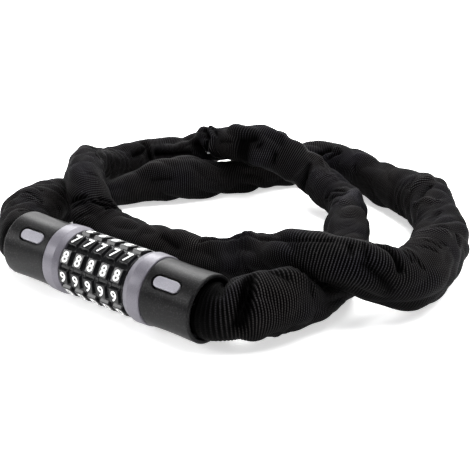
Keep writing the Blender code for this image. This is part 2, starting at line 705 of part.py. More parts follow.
along_fine = lengths(fine)
coarse_along = along_fine[::20 // ROUTE_STEPS]
coarse_points = fine[::20 // ROUTE_STEPS]
sleeve_length = along_fine[-1]
split_low, split_high = SLEEVE_SPLIT, SLEEVE_SPLIT + FIT
plug_part = coarse_points[coarse_along < split_low - SPLIT_MARGIN]
body_part = coarse_points[coarse_along > split_high + SPLIT_MARGIN]
plug_run = np.array([*plug_part, at_length(fine, split_low - FIT), at_length(fine, split_low)])
body_run = np.array([at_length(fine, split_high), at_length(fine, split_high + FIT), *body_part])
build_sleeve("plug_sleeve", plug_run, material("plug_sleeve", BLACK, 0.85))
build_sleeve("chain_sleeve", body_run, material("chain_sleeve", BLACK, 0.85))

# Least gap of the sleeve to itself, between places more than three diameters apart
least = 1.0
for k in range(0, len(fine), 2):
    far = np.abs(along_fine - along_fine[k]) > 6 * SLEEVE_END_RADIUS
    apart = np.linalg.norm(fine[far, :3] - fine[k, :3], axis=1) - fine[far, 3] - fine[k, 3]
    least = min(least, apart.min())
print(f"sleeve length {sleeve_length:.3f} m, least gap to itself {least * 1000:.2f} mm")


def link_mesh(name, reach):
    """Chain link: round wire bent into a ring with two straight sides, along X from its first bend."""
    loops = []
    for centre, turn in ((0.0, math.pi), (reach, 0.0)):
        for k in range(5):
            angle = turn + math.pi * (k / 4 - 0.5)
            out = Vector((math.cos(angle), math.sin(angle), 0.0))
            middle = Vector((centre, 0.0, 0.0)) + out * BEND_RADIUS
            loop = []
            for j in range(6):
                t = j * math.tau / 6
                rise = Vector((0.0, 0.0, math.sin(t)))
                loop.append(middle + (out * math.cos(t) + rise) * WIRE / 2)
            loops.append(loop)
    return finish(stack(loops, closed=True), name)


def march(points, start, stop):
    """Links along a run of points from a pin: place, direction, normal and whether it is the end link."""
    along = lengths(points)
    tangents = np.gradient(points[:, :3], along, axis=0)
    bends = np.gradient(tangents, along, axis=0)
    here, normal, passed = np.array(start), np.array((0.0, 0.0, 1.0)), 0.0
    found = [(here, None, normal)]
    while True:
        first = len(found) == 1
        reach = END_REACH if first else LINK_REACH
        lead = 0.0 if first else BEND_RADIUS
        outward = 0.05 * (reach + lead) ** 2
        for k in range(len(points)):
            if along[k] < passed + 0.3 * reach:
                continue
            aim = points[k, :3] - bends[k] * outward - here
            rise = 0.0 if first else float(np.clip(aim @ normal / reach, -0.9, 0.9))
            flat = aim - normal * (aim @ normal)
            if np.linalg.norm(flat) >= lead + reach * math.sqrt(1 - rise * rise):
                break
        if along[k] > stop or k == len(points) - 1:
            return found[1:]
        ahead = flat / np.linalg.norm(flat)
        near = here + lead * ahead
        direction = math.sqrt(1 - rise * rise) * ahead + rise * normal
        if not first:
            normal = np.cross(ahead, normal)
        found.append((near, direction, normal))
        here, passed = near + reach * direction, along[k]


end_link = link_mesh("end_link", END_REACH)
long_link = link_mesh("chain_link", LINK_REACH)
end_link.materials.append(material("end_link", STEEL, 0.35, 1.0))
long_link.materials.append(material("chain_link", STEEL, 0.35, 1.0))


def build_links(prefix, points, pin_x, stop):
    """Place the links of one end of the chain."""
    for k, (near, direction, normal) in enumerate(march(points, (pin_x, 0.0, AXIS_HEIGHT), stop)):
        side = np.cross(normal, direction)
        name = f"{prefix}_end_link" if k == 0 else f"{prefix}_link_{k}"
        made = place(name, end_link if k == 0 else long_link)
        turn = Matrix((direction, side, normal)).transposed().to_4x4()
        made.matrix_world = Matrix.Translation(near) @ turn


link_end = BEND_RADIUS + WIRE / 2 + SLOT_GAP
build_links("plug", fine, -PIN_PLACE, SLEEVE_SPLIT - link_end)
build_links("body", fine[::-1].copy(), PIN_PLACE, sleeve_length - SLEEVE_SPLIT - FIT - link_end)
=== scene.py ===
"""Chain lock, dressed: camera, materials, woven sleeve, caps, collars, number rings and studio."""
import math

import bmesh
import bpy
import numpy as np
from mathutils import Matrix, Vector
from mathutils.kdtree import KDTree


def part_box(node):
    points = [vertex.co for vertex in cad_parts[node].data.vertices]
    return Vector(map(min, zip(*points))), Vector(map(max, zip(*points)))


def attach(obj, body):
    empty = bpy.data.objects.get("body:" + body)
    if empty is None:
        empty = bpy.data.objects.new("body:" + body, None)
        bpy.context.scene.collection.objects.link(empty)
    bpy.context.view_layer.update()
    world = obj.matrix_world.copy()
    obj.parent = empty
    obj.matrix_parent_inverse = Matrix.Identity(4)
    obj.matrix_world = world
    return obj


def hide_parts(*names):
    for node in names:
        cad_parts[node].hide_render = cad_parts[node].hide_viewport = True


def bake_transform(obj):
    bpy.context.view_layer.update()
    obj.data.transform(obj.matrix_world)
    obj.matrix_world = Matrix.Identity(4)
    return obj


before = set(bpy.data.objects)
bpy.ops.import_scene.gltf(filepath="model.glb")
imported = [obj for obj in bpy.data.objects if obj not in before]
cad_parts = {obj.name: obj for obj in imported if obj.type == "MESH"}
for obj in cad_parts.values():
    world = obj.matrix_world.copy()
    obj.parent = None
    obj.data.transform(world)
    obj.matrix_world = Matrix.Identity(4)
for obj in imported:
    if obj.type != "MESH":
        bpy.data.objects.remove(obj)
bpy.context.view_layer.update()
scene = bpy.context.scene

low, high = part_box("body_cap")
AXIS_Z = (low[2] + high[2]) / 2


# Camera at the photograph's angle

LENS = 80.26
SENSOR_WIDTH = 36.0
CLIP_START = 0.02
CAMERA_PLACE = (0.329315, -0.326744, 0.237973)
CAMERA_TILT = math.radians(66.503)
CAMERA_HEADING = math.radians(37.891)

camera_data = bpy.data.cameras.new("camera")
camera_data.lens = LENS
camera_data.sensor_width = SENSOR_WIDTH
camera_data.clip_start = CLIP_START
camera = bpy.data.objects.new("camera", camera_data)
camera.location = CAMERA_PLACE
camera.rotation_euler = (CAMERA_TILT, 0.0, CAMERA_HEADING)
scene.collection.objects.link(camera)
scene.camera = camera


# Materials

# Sockets of a Mix node that hold its share and its colours
MIX_SHARE = 0
MIX_FIRST = 6
MIX_SECOND = 7
MIX_RESULT = 2


class Look:
    """A node material while it is put together."""

    def __init__(self, name, **constants):
        self.material = bpy.data.materials.new(name)
        self.material.use_nodes = True
        self.tree = self.material.node_tree
        self.shader = self.tree.nodes["Principled BSDF"]
        for key, value in constants.items():
            self.set(key.replace("_", " "), value)

    def set(self, name, value):
        """Give the shader's socket a constant or a link."""
        self.join(self.shader.inputs[name], value)

    def join(self, socket, value):
        """Link a socket, or set it where the value is a constant."""
        if isinstance(value, bpy.types.NodeSocket):
            self.tree.links.new(value, socket)
        else:
            socket.default_value = value

    def add(self, kind, inputs=None, **settings):
        """New node with its settings and inputs."""
        made = self.tree.nodes.new("ShaderNode" + kind)
        for key, value in settings.items():
            setattr(made, key, value)
        for key, value in (inputs or {}).items():
            self.join(made.inputs[key], value)
        return made

    def place(self):
        """Place on the object, in metres."""
        return self.add("TexCoord").outputs["Object"]

    def noise(self, scale, detail=2.0, roughness=0.5, vector=None):
        """Noise from 0 to 1."""
        inputs = {"Scale": scale, "Detail": detail, "Roughness": roughness}
        inputs["Vector"] = vector if vector is not None else self.place()
        return self.add("TexNoise", inputs).outputs["Fac"]

    def maths(self, operation, first, second=0.0):
        """One sum; the second value is unused where the operation takes one."""
        return self.add("Math", {0: first, 1: second}, operation=operation).outputs[0]

    def from_middle(self, value):
        """Distance from the middle of each whole step, 0 at the middle and 1 at the ends."""
        away = self.maths("SUBTRACT", self.maths("FRACT", value), 0.5)
        return self.maths("MULTIPLY", self.maths("ABSOLUTE", away), 2.0)

    def ramp(self, value, *stops):
        """Colour or grey that runs through (place, colour) stops."""
        made = self.add("ValToRGB", {"Fac": value})
        parts = made.color_ramp.elements
        while len(parts) < len(stops):
            parts.new(0.5)
        for part, (spot, colour) in zip(parts, stops):
            part.position = spot
            part.color = (*colour, 1.0) if isinstance(colour, tuple) else (colour, colour, colour, 1.0)
        return made.outputs["Color"]

    def mix(self, share, first, second, blend="MIX"):
        """Two colours mixed, multiplied or added."""
        made = self.add("Mix", data_type="RGBA", blend_type=blend)
        self.join(made.inputs[MIX_SHARE], share)
        self.join(made.inputs[MIX_FIRST], first)
        self.join(made.inputs[MIX_SECOND], second)
        return made.outputs[MIX_RESULT]

    def bump(self, height, distance, strength=1.0):
        """Fine relief on the surface."""
        made = self.add("Bump", {"Height": height, "Distance": distance, "Strength": strength})
        self.set("Normal", made.outputs["Normal"])


STITCHES_A_TURN = 76.0
STITCH_DEPTH = 0.40
CREST_POWER = 0.9
YARN_LEAST = 0.75
YARN_RANGE = 0.5


def weave_height(look):
    """Height of the knit from 0 to 1: a crest along each rib, cut into staggered stitches."""
    parts = look.add("SeparateXYZ", {"Vector": look.add("TexCoord").outputs["UV"]})
    rib, turn = parts.outputs["X"], parts.outputs["Y"]
    crest = look.maths("POWER", look.maths("SUBTRACT", 1.0, look.from_middle(rib)), CREST_POWER)
    stagger = look.maths("MULTIPLY", look.maths("FLOOR", rib), 0.5)
    stitch = look.maths("ADD", look.maths("MULTIPLY", turn, STITCHES_A_TURN), stagger)
    dip = look.maths("MULTIPLY", look.maths("POWER", look.from_middle(stitch), 2.0), STITCH_DEPTH)
    bead = look.maths("SUBTRACT", 1.0, dip)
    yarn = look.maths("ADD", look.maths("MULTIPLY", look.noise(scale=2400.0), YARN_RANGE), YARN_LEAST)
    return look.maths("MULTIPLY", look.maths("MULTIPLY", crest, bead), yarn)


def woven_look():
    """Black knitted nylon: ribs round the sleeve, each a row of stitches, with painted shade in creases,
    underneath and at the caps' mouths and painted highlight on ridges.
    """
    look = Look("black_woven_sleeve", Specular_IOR_Level=0.012)
    height = weave_height(look)
    # Colour follows the knit's height: painted shade in the grooves between ribs and painted highlight on
    # the stitches' crests
    colour = look.ramp(height, (0.26, 0.0001), (0.52, 0.0023), (0.86, 0.027))
    # Painted shade and painted highlight from the sleeve's point attribute, multiplied into the colour
    painted_light_and_shade = look.add("Attribute", attribute_name="painted_light_and_shade").outputs["Fac"]
    painted_shading_ramp = look.ramp(painted_light_and_shade, (0.0, 0.04), (0.5, 0.90), (1.0, 2.3))
    colour = look.mix(1.0, colour, painted_shading_ramp, "MULTIPLY")
    bluish, neutral, brownish = (0.94, 0.90, 1.10), (1.0, 0.96, 1.0), (1.06, 0.98, 0.97)
    tint = look.ramp(look.noise(scale=38.0), (0.32, bluish), (0.5, neutral), (0.68, brownish))
    colour = look.mix(1.0, colour, tint, "MULTIPLY")
    lint = look.ramp(look.noise(scale=420.0, detail=1.0), (0.77, 0.0), (0.80, 0.012))
    look.set("Base Color", look.mix(1.0, colour, lint, "ADD"))
    look.set("Roughness", look.ramp(look.noise(scale=120.0), (0.35, 0.48), (0.65, 0.62)))
    look.bump(height, distance=0.00035)
    return look.material


def cap_look():
    """Satin black moulded caps with a fine grain."""
    look = Look("satin_black_cap", Specular_IOR_Level=0.08)
    dark, light = (0.003, 0.003, 0.0035, 1.0), (0.006, 0.0058, 0.006, 1.0)
    grain = look.noise(scale=2300.0, detail=3.0, roughness=0.6)
    broad = look.noise(scale=60.0, detail=3.0)
    flecks = look.ramp(look.noise(scale=1500.0, detail=1.0), (0.52, 0.0), (0.76, 0.016))
    look.set("Base Color", look.mix(1.0, look.mix(broad, dark, light), flecks, "ADD"))
    look.set("Roughness", look.ramp(broad, (0.3, 0.32), (0.7, 0.40)))
    look.bump(grain, distance=0.00005, strength=0.45)
    return look.material


def collar_look():
    """Grey metallic paint with fine flake."""
    look = Look("grey_satin_collar", Metallic=0.22, Specular_IOR_Level=0.40)
    dark, light = (0.094, 0.089, 0.107, 1.0), (0.122, 0.116, 0.136, 1.0)
    flake = look.noise(scale=3400.0)
    broad = look.noise(scale=45.0, detail=3.0)
    spark = look.ramp(flake, (0.38, 0.80), (0.5, 1.0), (0.66, 1.18))
    look.set("Base Color", look.mix(1.0, look.mix(broad, dark, light), spark, "MULTIPLY"))
    look.set("Roughness", look.ramp(flake, (0.3, 0.36), (0.7, 0.48)))
    look.bump(flake, distance=0.00004, strength=0.25)
    return look.material


def inlay_look():
    """Grey plate, with a fainter flake than the collars."""
    look = Look("grey_inlay", Metallic=0.20, Specular_IOR_Level=0.4)
    dark, light = (0.185, 0.182, 0.208, 1.0), (0.245, 0.240, 0.268, 1.0)
    flake = look.noise(scale=3000.0)
    broad = look.noise(scale=160.0, detail=3.0)
    spark = look.ramp(flake, (0.38, 0.86), (0.62, 1.12))
    look.set("Base Color", look.mix(1.0, look.mix(broad, dark, light), spark, "MULTIPLY"))
    look.set("Roughness", look.ramp(broad, (0.3, 0.38), (0.7, 0.50)))
    look.bump(flake, distance=0.00003, strength=0.2)
    return look.material


def dial_look():
    """Glossy black number rings with faint smears."""
    look = Look("gloss_black_dial", Specular_IOR_Level=0.22)
    dark, light = (0.004, 0.004, 0.0045, 1.0), (0.008, 0.008, 0.009, 1.0)
    smear = look.noise(scale=320.0, detail=4.0, roughness=0.6)
    look.set("Base Color", look.mix(smear, dark, light))
    look.set("Roughness", look.ramp(smear, (0.3, 0.15), (0.7, 0.24)))
    look.bump(look.noise(scale=900.0), distance=0.00003, strength=0.2)
    return look.material


def digit_look():
    """White paint of the numbers."""
    look = Look("white_number_paint", Specular_IOR_Level=0.4)
    clean, worn = (0.86, 0.86, 0.85, 1.0), (0.74, 0.74, 0.74, 1.0)
    wear = look.noise(scale=1500.0, detail=3.0)
    look.set("Base Color", look.mix(wear, clean, worn))
    look.set("Roughness", look.ramp(wear, (0.3, 0.45), (0.7, 0.6)))
    look.bump(wear, distance=0.00002, strength=0.2)
    return look.material


GRAIN_STRETCH = (0.15, 1.0, 1.0)
GRAIN_ROUGHNESS = 0.07


def metal_look(name, dark, light, rough, grain=900.0):
    """Machined or drawn metal with a fine lengthwise grain."""
    look = Look(name, Metallic=1.0)
    stretched = look.add("Mapping", {"Vector": look.place(), "Scale": GRAIN_STRETCH}).outputs["Vector"]
    lines = look.noise(scale=grain, detail=4.0, roughness=0.6, vector=stretched)
    look.set("Base Color", look.mix(lines, (*dark, 1.0), (*light, 1.0)))
    look.set("Roughness", look.ramp(lines, (0.3, rough - GRAIN_ROUGHNESS), (0.7, rough + GRAIN_ROUGHNESS)))
    look.bump(lines, distance=0.00003, strength=0.3)
    return look.material


SLEEVE = woven_look()
CAP = cap_look()
COLLAR = collar_look()
INLAY = inlay_look()
DIAL = dial_look()
PAINT = digit_look()
CHAIN_STEEL = metal_look("chain_steel", (0.30, 0.30, 0.31), (0.52, 0.52, 0.53), rough=0.38, grain=700.0)
PLATED = metal_look("plated_steel", (0.30, 0.30, 0.31), (0.46, 0.46, 0.46), rough=0.30)
SPRING = metal_look("spring_steel", (0.36, 0.37, 0.40), (0.56, 0.57, 0.60), rough=0.26)
BRASS = metal_look("ring_brass", (0.52, 0.36, 0.13), (0.74, 0.55, 0.24), rough=0.33)
BLACKENED = metal_look("blackened_steel", (0.012, 0.012, 0.013), (0.03, 0.03, 0.032), rough=0.5)


# Mesh helpers

EDGE_ANGLE = 30.0
TILE_EDGE_ANGLE = 50.0
PLATE_EDGE_ANGLE = 40.0


def add_piece(name, mesh, look, body, replaced=()):
    """Put a mesh in the scene as a piece, which rides on a body where one is named."""
    mesh.materials.clear()
    mesh.materials.append(look)
    made = bpy.data.objects.new(name, mesh)
    scene.collection.objects.link(made)
    if body is not None:
        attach(made, body)
    if replaced:
        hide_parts(*replaced)
    return made


def to_mesh(bm, name, angle=EDGE_ANGLE):
    """Turn a bmesh into a smooth-shaded mesh with edges sharper than an angle kept."""
    bmesh.ops.recalc_face_normals(bm, faces=bm.faces)
    mesh = bpy.data.meshes.new(name)
    bm.to_mesh(mesh)
    bm.free()
    mesh.shade_smooth()
    mesh.set_sharp_from_angle(angle=math.radians(angle))
    return mesh


def polar(x, radius, angle):
    """Point round the lock's axis, at an angle above the horizontal on the viewer's side."""
    return Vector((x, -radius * math.cos(angle), AXIS_Z + radius * math.sin(angle)))


def stack(loops, closed=False):
    """Bridge loops of equally many points; the ends are capped unless the stack closes."""
    bm = bmesh.new()
    rings = [[bm.verts.new(point) for point in loop] for loop in loops]
    pairs = list(zip(rings, rings[1:]))
    if closed:
        pairs.append((rings[-1], rings[0]))
    else:
        bm.faces.new(rings[0])
        bm.faces.new(rings[-1])
    for low_ring, high_ring in pairs:
        for k in range(len(low_ring)):
            j = (k + 1) % len(low_ring)
            bm.faces.new((low_ring[k], low_ring[j], high_ring[j], high_ring[k]))
    return bm


def fillet(corners, steps=5):
    """Closed section of (x, radius, rounding) corners with each corner rounded."""
    points = []
    count = len(corners)
    for k, (x, r, size) in enumerate(corners):
        here = Vector((x, r))
        if size <= 0:
            points.append(here)
            continue
        before = (Vector(corners[k - 1][:2]) - here).normalized()
        after = (Vector(corners[(k + 1) % count][:2]) - here).normalized()
        half = before.angle(after) / 2
        reach = size / math.tan(half)
        centre = here + (before + after).normalized() * (size / math.sin(half))
        start = here + before * reach - centre
        end = here + after * reach - centre
        turn = start.angle_signed(end)
        for j in range(steps + 1):
            points.append(centre + Matrix.Rotation(-turn * j / steps, 2) @ start)
    return points


def lathe(name, section, sides):
    """Ring turned round the lock's axis from a closed section."""
    loops = [[polar(x, r, (k + 0.5) * math.tau / sides) for k in range(sides)] for x, r in section]
    return to_mesh(stack(loops, closed=True), name)


def cut(mesh, tool_mesh):
    """Mesh with a tool mesh cut out of it."""
    target = bpy.data.objects.new("cut_target", mesh)
    tool = bpy.data.objects.new("cut_tool", tool_mesh)
    for made in (target, tool):
        scene.collection.objects.link(made)
    step = target.modifiers.new("cut", "BOOLEAN")
    step.operation = "DIFFERENCE"
    step.solver = "EXACT"
    step.object = tool
    graph = bpy.context.evaluated_depsgraph_get()
    made = bpy.data.meshes.new_from_object(target.evaluated_get(graph))
    made.name = mesh.name
    bpy.data.objects.remove(target)
    bpy.data.objects.remove(tool)
    made.shade_smooth()
    made.set_sharp_from_angle(angle=math.radians(EDGE_ANGLE))
    return made


def oval(name, length, width, levels, x, angle, arc=14):
    """Plate with round ends along X, facing out at an angle; levels are (height, inset) pairs."""
    out = Vector((0.0, -math.cos(angle), math.sin(angle)))
    side = Vector((0.0, math.sin(angle), math.cos(angle)))
    centre = Vector((x, 0.0, AXIS_Z))
    run = length / 2 - width / 2
    loops = []
    for height, inset in levels:
        half = width / 2 - inset
        loop = []
        for end in (1, -1):
            for k in range(arc + 1):
                t = math.pi * (k / arc - 0.5)
                lengthwise = Vector((end * (run + half * math.cos(t)), 0.0, 0.0))
                sidewise = side * (end * half * math.sin(t))
                loop.append(centre + lengthwise + sidewise + out * height)
        loops.append(loop)
    return to_mesh(stack(loops), name, PLATE_EDGE_ANGLE)


# Route of the sleeve: the points of the part's source, X, Y, Z and radius

SLEEVE_END = 0.05475
END_RADIUS = 0.0125
ROUTE = (
    (-0.067, 0.001, 0.0175, 0.0130), (-0.082, 0.016, 0.0160, 0.0130),
    (-0.098, 0.040, 0.0150, 0.0135), (-0.102, 0.061, 0.0125, 0.0120),
    (-0.095, 0.084, 0.0095, 0.0090), (-0.082, 0.111, 0.0110, 0.0105),
    (-0.067, 0.131, 0.0125, 0.0120), (-0.051, 0.158, 0.0100, 0.0095),
    (-0.034, 0.189, 0.0120, 0.0115), (-0.008, 0.209, 0.0135, 0.0130),
    (0.031, 0.202, 0.0120, 0.0115), (0.067, 0.188, 0.0150, 0.0145),
    (0.088, 0.165, 0.0150, 0.0140), (0.103, 0.142, 0.0150, 0.0140),
    (0.117, 0.095, 0.0175, 0.0150), (0.115, 0.076, 0.0205, 0.0145),
    (0.105, 0.061, 0.0275, 0.0135), (0.090, 0.052, 0.0330, 0.0125),
    (0.073, 0.050, 0.0315, 0.0120), (0.045, 0.053, 0.0180, 0.0120),
    (0.019, 0.047, 0.0130, 0.0120), (0.000, 0.044, 0.0130, 0.0120),
    (-0.042, 0.039, 0.0180, 0.0115), (-0.054, 0.041, 0.0260, 0.0115),
    (-0.066, 0.048, 0.0325, 0.0110), (-0.080, 0.061, 0.0345, 0.0105),
    (-0.094, 0.077, 0.0320, 0.0100), (-0.110, 0.097, 0.0245, 0.0105),
    (-0.118, 0.124, 0.0140, 0.0115), (-0.107, 0.152, 0.0130, 0.0120),
    (-0.080, 0.161, 0.0205, 0.0110), (-0.053, 0.160, 0.0315, 0.0105),
    (-0.036, 0.158, 0.0345, 0.0115), (-0.010, 0.166, 0.0265, 0.0115),
    (0.004, 0.169, 0.0185, 0.0115), (0.017, 0.166, 0.0135, 0.0110),
    (0.031, 0.160, 0.0115, 0.0110), (0.045, 0.142, 0.0120, 0.0115),
    (0.058, 0.121, 0.0130, 0.0125), (0.071, 0.100, 0.0115, 0.0110),
    (0.084, 0.067, 0.0110, 0.0105), (0.087, 0.045, 0.0105, 0.0095),
    (0.081, 0.022, 0.0180, 0.0150), (0.067, 0.001, 0.0175, 0.0125),
)
STEPS_A_STRETCH = 120
RIB = 0.00115
RINGS = 4
SIDES = 84
SEAM = 0.2045

# Millimetres in a metre
MM = 1000.0


def spline(points, per):
    """Natural cubic spline through points, with a number of steps for each stretch."""
    steps = np.linalg.norm(np.diff(points[:, :3], axis=0), axis=1) ** 0.5
    count = len(points)
    rows = np.eye(count)
    right = np.zeros_like(points)
    for k in range(1, count - 1):
        rows[k, k - 1:k + 2] = (steps[k - 1], 2 * (steps[k - 1] + steps[k]), steps[k])
        slope = (points[k + 1] - points[k]) / steps[k] - (points[k] - points[k - 1]) / steps[k - 1]
        right[k] = 6 * slope
    bends = np.linalg.solve(rows, right)
    number = np.linspace(0, count - 1, (count - 1) * per + 1)
    k = np.minimum(number.astype(int), count - 2)
    b = (number - k)[:, None]
    a = 1 - b
    h = steps[k][:, None]
    curve = ((a ** 3 - a) * bends[k] + (b ** 3 - b) * bends[k + 1]) * h * h / 6
    return a * points[k] + b * points[k + 1] + curve


def unit(rows):
    """Rows made one long."""
    return rows / np.linalg.norm(rows, axis=-1, keepdims=True)


plug_end = (-SLEEVE_END, 0.0, AXIS_Z, END_RADIUS)
body_end = (SLEEVE_END, 0.0, AXIS_Z, END_RADIUS)
fine = spline(np.array((plug_end, *ROUTE, body_end)), STEPS_A_STRETCH)
along = np.concatenate(([0.0], np.cumsum(np.linalg.norm(np.diff(fine[:, :3], axis=0), axis=1))))
LENGTH = along[-1]
tangent = unit(np.gradient(fine[:, :3], along, axis=0))
upward = unit(np.array((0.0, 0.0, 1.0)) - tangent * tangent[:, 2:3])
sideways = np.cross(tangent, upward)
bend = np.gradient(tangent, along, axis=0)


# Grid over the sleeve: S is the distance along it from the plug, PHI the turn round it from the top

ribs = int(round(LENGTH / RIB))
ring_at = np.linspace(0.0, LENGTH, ribs * RINGS + 1)
turn_at = np.arange(SIDES) * math.tau / SIDES
S, PHI = np.meshgrid(ring_at, turn_at, indexing="ij")


def along_route(values, spots):
    """Values of the route at given distances along it."""
    if values.ndim == 1:
        return np.interp(spots, along, values)
    return np.stack([np.interp(spots, along, values[:, k]) for k in range(values.shape[1])], axis=-1)


def table(rows):
    """Value along the sleeve from (millimetres, value) rows, eased between them."""
    spots = np.array([row[0] for row in rows]) / MM
    values = np.array([row[1] for row in rows], dtype=float)
    k = np.clip(np.searchsorted(spots, S, side="right") - 1, 0, len(spots) - 2)
    t = np.clip((S - spots[k]) / (spots[k + 1] - spots[k]), 0.0, 1.0)
    t = t * t * (3 - 2 * t)
    return values[k] * (1 - t) + values[k + 1] * t


def near_angle(a, b):
    """Difference between two angles, in the range of half a turn each way."""
    return (a - b + math.pi) % math.tau - math.pi


def near_degrees(turn):
    """A turn in degrees, in the range of half a turn each way."""
    return (turn + 180.0) % 360.0 - 180.0


radius_here = along_route(fine[:, 3], ring_at)[:, None]
up_part = np.cos(PHI)[..., None] * along_route(upward, S)
side_part = np.sin(PHI)[..., None] * along_route(sideways, S)
outward = up_part + side_part
nominal = along_route(fine[:, :3], S) + radius_here[..., None] * outward
from_end = np.minimum(S, LENGTH - S)


# Section of the sleeve, squared off by the links: how square, and the turn of its corners in degrees

SQUARE = (
    (0, 0.0), (40, 0.10), (90, 0.16), (120, 0.08), (480, 0.10), (505, 0.30), (560, 0.34), (620, 0.16),
    (668, 0.08), (910, 0.12), (970, 0.18), (1050, 0.10), (1152, 0.0),
)
CORNERS = ((0, -30), (400, 10), (500, -46), (600, -44), (688, 20), (910, -20), (1152, 30))
SQUARE_DEPTH = 0.22
SQUARE_SPREAD = 0.04


def squared_section():
    """Share of the radius round each ring of the sleeve."""
    square = table(SQUARE)
    corner = np.radians(table(CORNERS))
    section = 1.0 - square * SQUARE_DEPTH * np.cos(4 * near_angle(PHI, corner))
    return section / (1.0 + square * SQUARE_SPREAD)


# Bumps over the links, wrinkles, and small folds at the inside of bends

LINK_BUMP = 0.00050
LINK_STEP = 0.0375
LINK_LEAN = 0.6
LINK_SWAY = 1.1
LINK_SWAY_RATE = 23.0
WRINKLES = 22
WRINKLE_WAVE = (0.016, 0.070)
WRINKLE_LOBES = (-4, -3, -2, -1, 1, 2, 3, 4)
WRINKLE_SHARE = (0.4, 1.0)
WRINKLE_HEIGHT = 0.00034
TIGHTEST = 0.6
CRUMPLE_HEIGHT = 0.0011
CRUMPLE_WAVE = 0.0068
CRUMPLE_SWAY = 1.3
CRUMPLE_SWAY_RATE = 260.0
CRUMPLE_SLANT = 0.8
random = np.random.RandomState(11)


def link_bumps():
    """Low bumps where the links stand across each other."""
    turned = 2 * PHI - LINK_LEAN + LINK_SWAY * np.sin(S * LINK_SWAY_RATE)
    return LINK_BUMP * np.cos(turned) * np.cos(S * math.pi / LINK_STEP)


def wrinkles():
    """Slanting wrinkles: waves of chance length and slant laid over each other."""
    total = np.zeros_like(S)
    for _ in range(WRINKLES):
        wave = random.uniform(*WRINKLE_WAVE)
        lobes = random.choice(WRINKLE_LOBES)
        start = random.uniform(0.0, math.tau)
        total += np.sin(math.tau * S / wave + lobes * PHI + start) * random.uniform(*WRINKLE_SHARE)
    return WRINKLE_HEIGHT * (np.abs(total) - np.abs(total).mean())


def crumples():
    """Small folds pressed together at the inside of bends."""
    bend_here = along_route(bend, ring_at)
    bend_up = np.sum(bend_here * along_route(upward, ring_at), axis=1)[:, None]
    bend_side = np.sum(bend_here * along_route(sideways, ring_at), axis=1)[:, None]
    inside = np.clip((bend_up * np.cos(PHI) + bend_side * np.sin(PHI)) * radius_here, 0.0, TIGHTEST)
    sway = CRUMPLE_SWAY * np.sin(S * CRUMPLE_SWAY_RATE)
    wave = np.sin(math.tau * S / CRUMPLE_WAVE + sway + CRUMPLE_SLANT * np.sin(PHI * 2))
    return CRUMPLE_HEIGHT * inside * wave


# Broad swells and hollows read from the photograph: millimetres along and degrees round the
# sleeve where one starts and where it ends, then its width and its height in millimetres
SWELLS = (
    # left bend and left loop
    (30, -45, 46, -45, 8.0, 1.6), (672, -80, 690, -80, 6.0, 0.6),
    (58, 80, 88, 85, 9.0, 4.0), (636, -95, 655, -95, 8.0, 3.0),
    (84, 120, 94, 130, 7.0, 2.5), (48, -35, 56, -35, 8.0, 1.4),
    (14, -80, 30, -85, 8.0, -2.0),
    # back, left half, and the strand under it
    (742, 10, 774, 10, 9.0, -2.4), (787, 0, 800, 0, 6.0, 0.8),
    (820, 12, 833, 14, 7.0, -4.0), (846, -5, 851, 15, 6.0, 3.6),
    (148, -5, 170, -5, 9.0, 2.4), (194, -5, 206, -5, 6.0, 1.6),
    (870, 125, 882, 125, 6.0, 2.0),
    # back, right half, and down to the crossing
    (890, -18, 900, -20, 7.0, 1.3), (866, 0, 878, 0, 6.0, -1.4),
    (938, 135, 952, 138, 7.0, -1.8), (982, -62, 992, -65, 5.0, -2.5),
    # far right
    (360, -60, 386, -64, 9.0, -1.4), (312, 115, 336, 115, 8.0, 1.8),
    (214, 115, 236, 115, 8.0, 1.8),
    # near strand
    (607, 28, 634, 30, 7.0, -1.0), (566, 8, 553, 4, 5.0, 2.0), (538, 8, 508, 8, 9.0, -1.6),
    (606, 5, 598, 0, 6.0, 1.0),
    # bulge by the body's cap, and the gap between it and the near strand
    (1098, -22, 1108, -12, 5.0, 2.0), (510, -125, 518, -130, 5.0, 2.0),
    (1126, 4, 1122, 4, 4.5, 1.5), (1112, 6, 1110, 4, 5.0, 1.4),
)

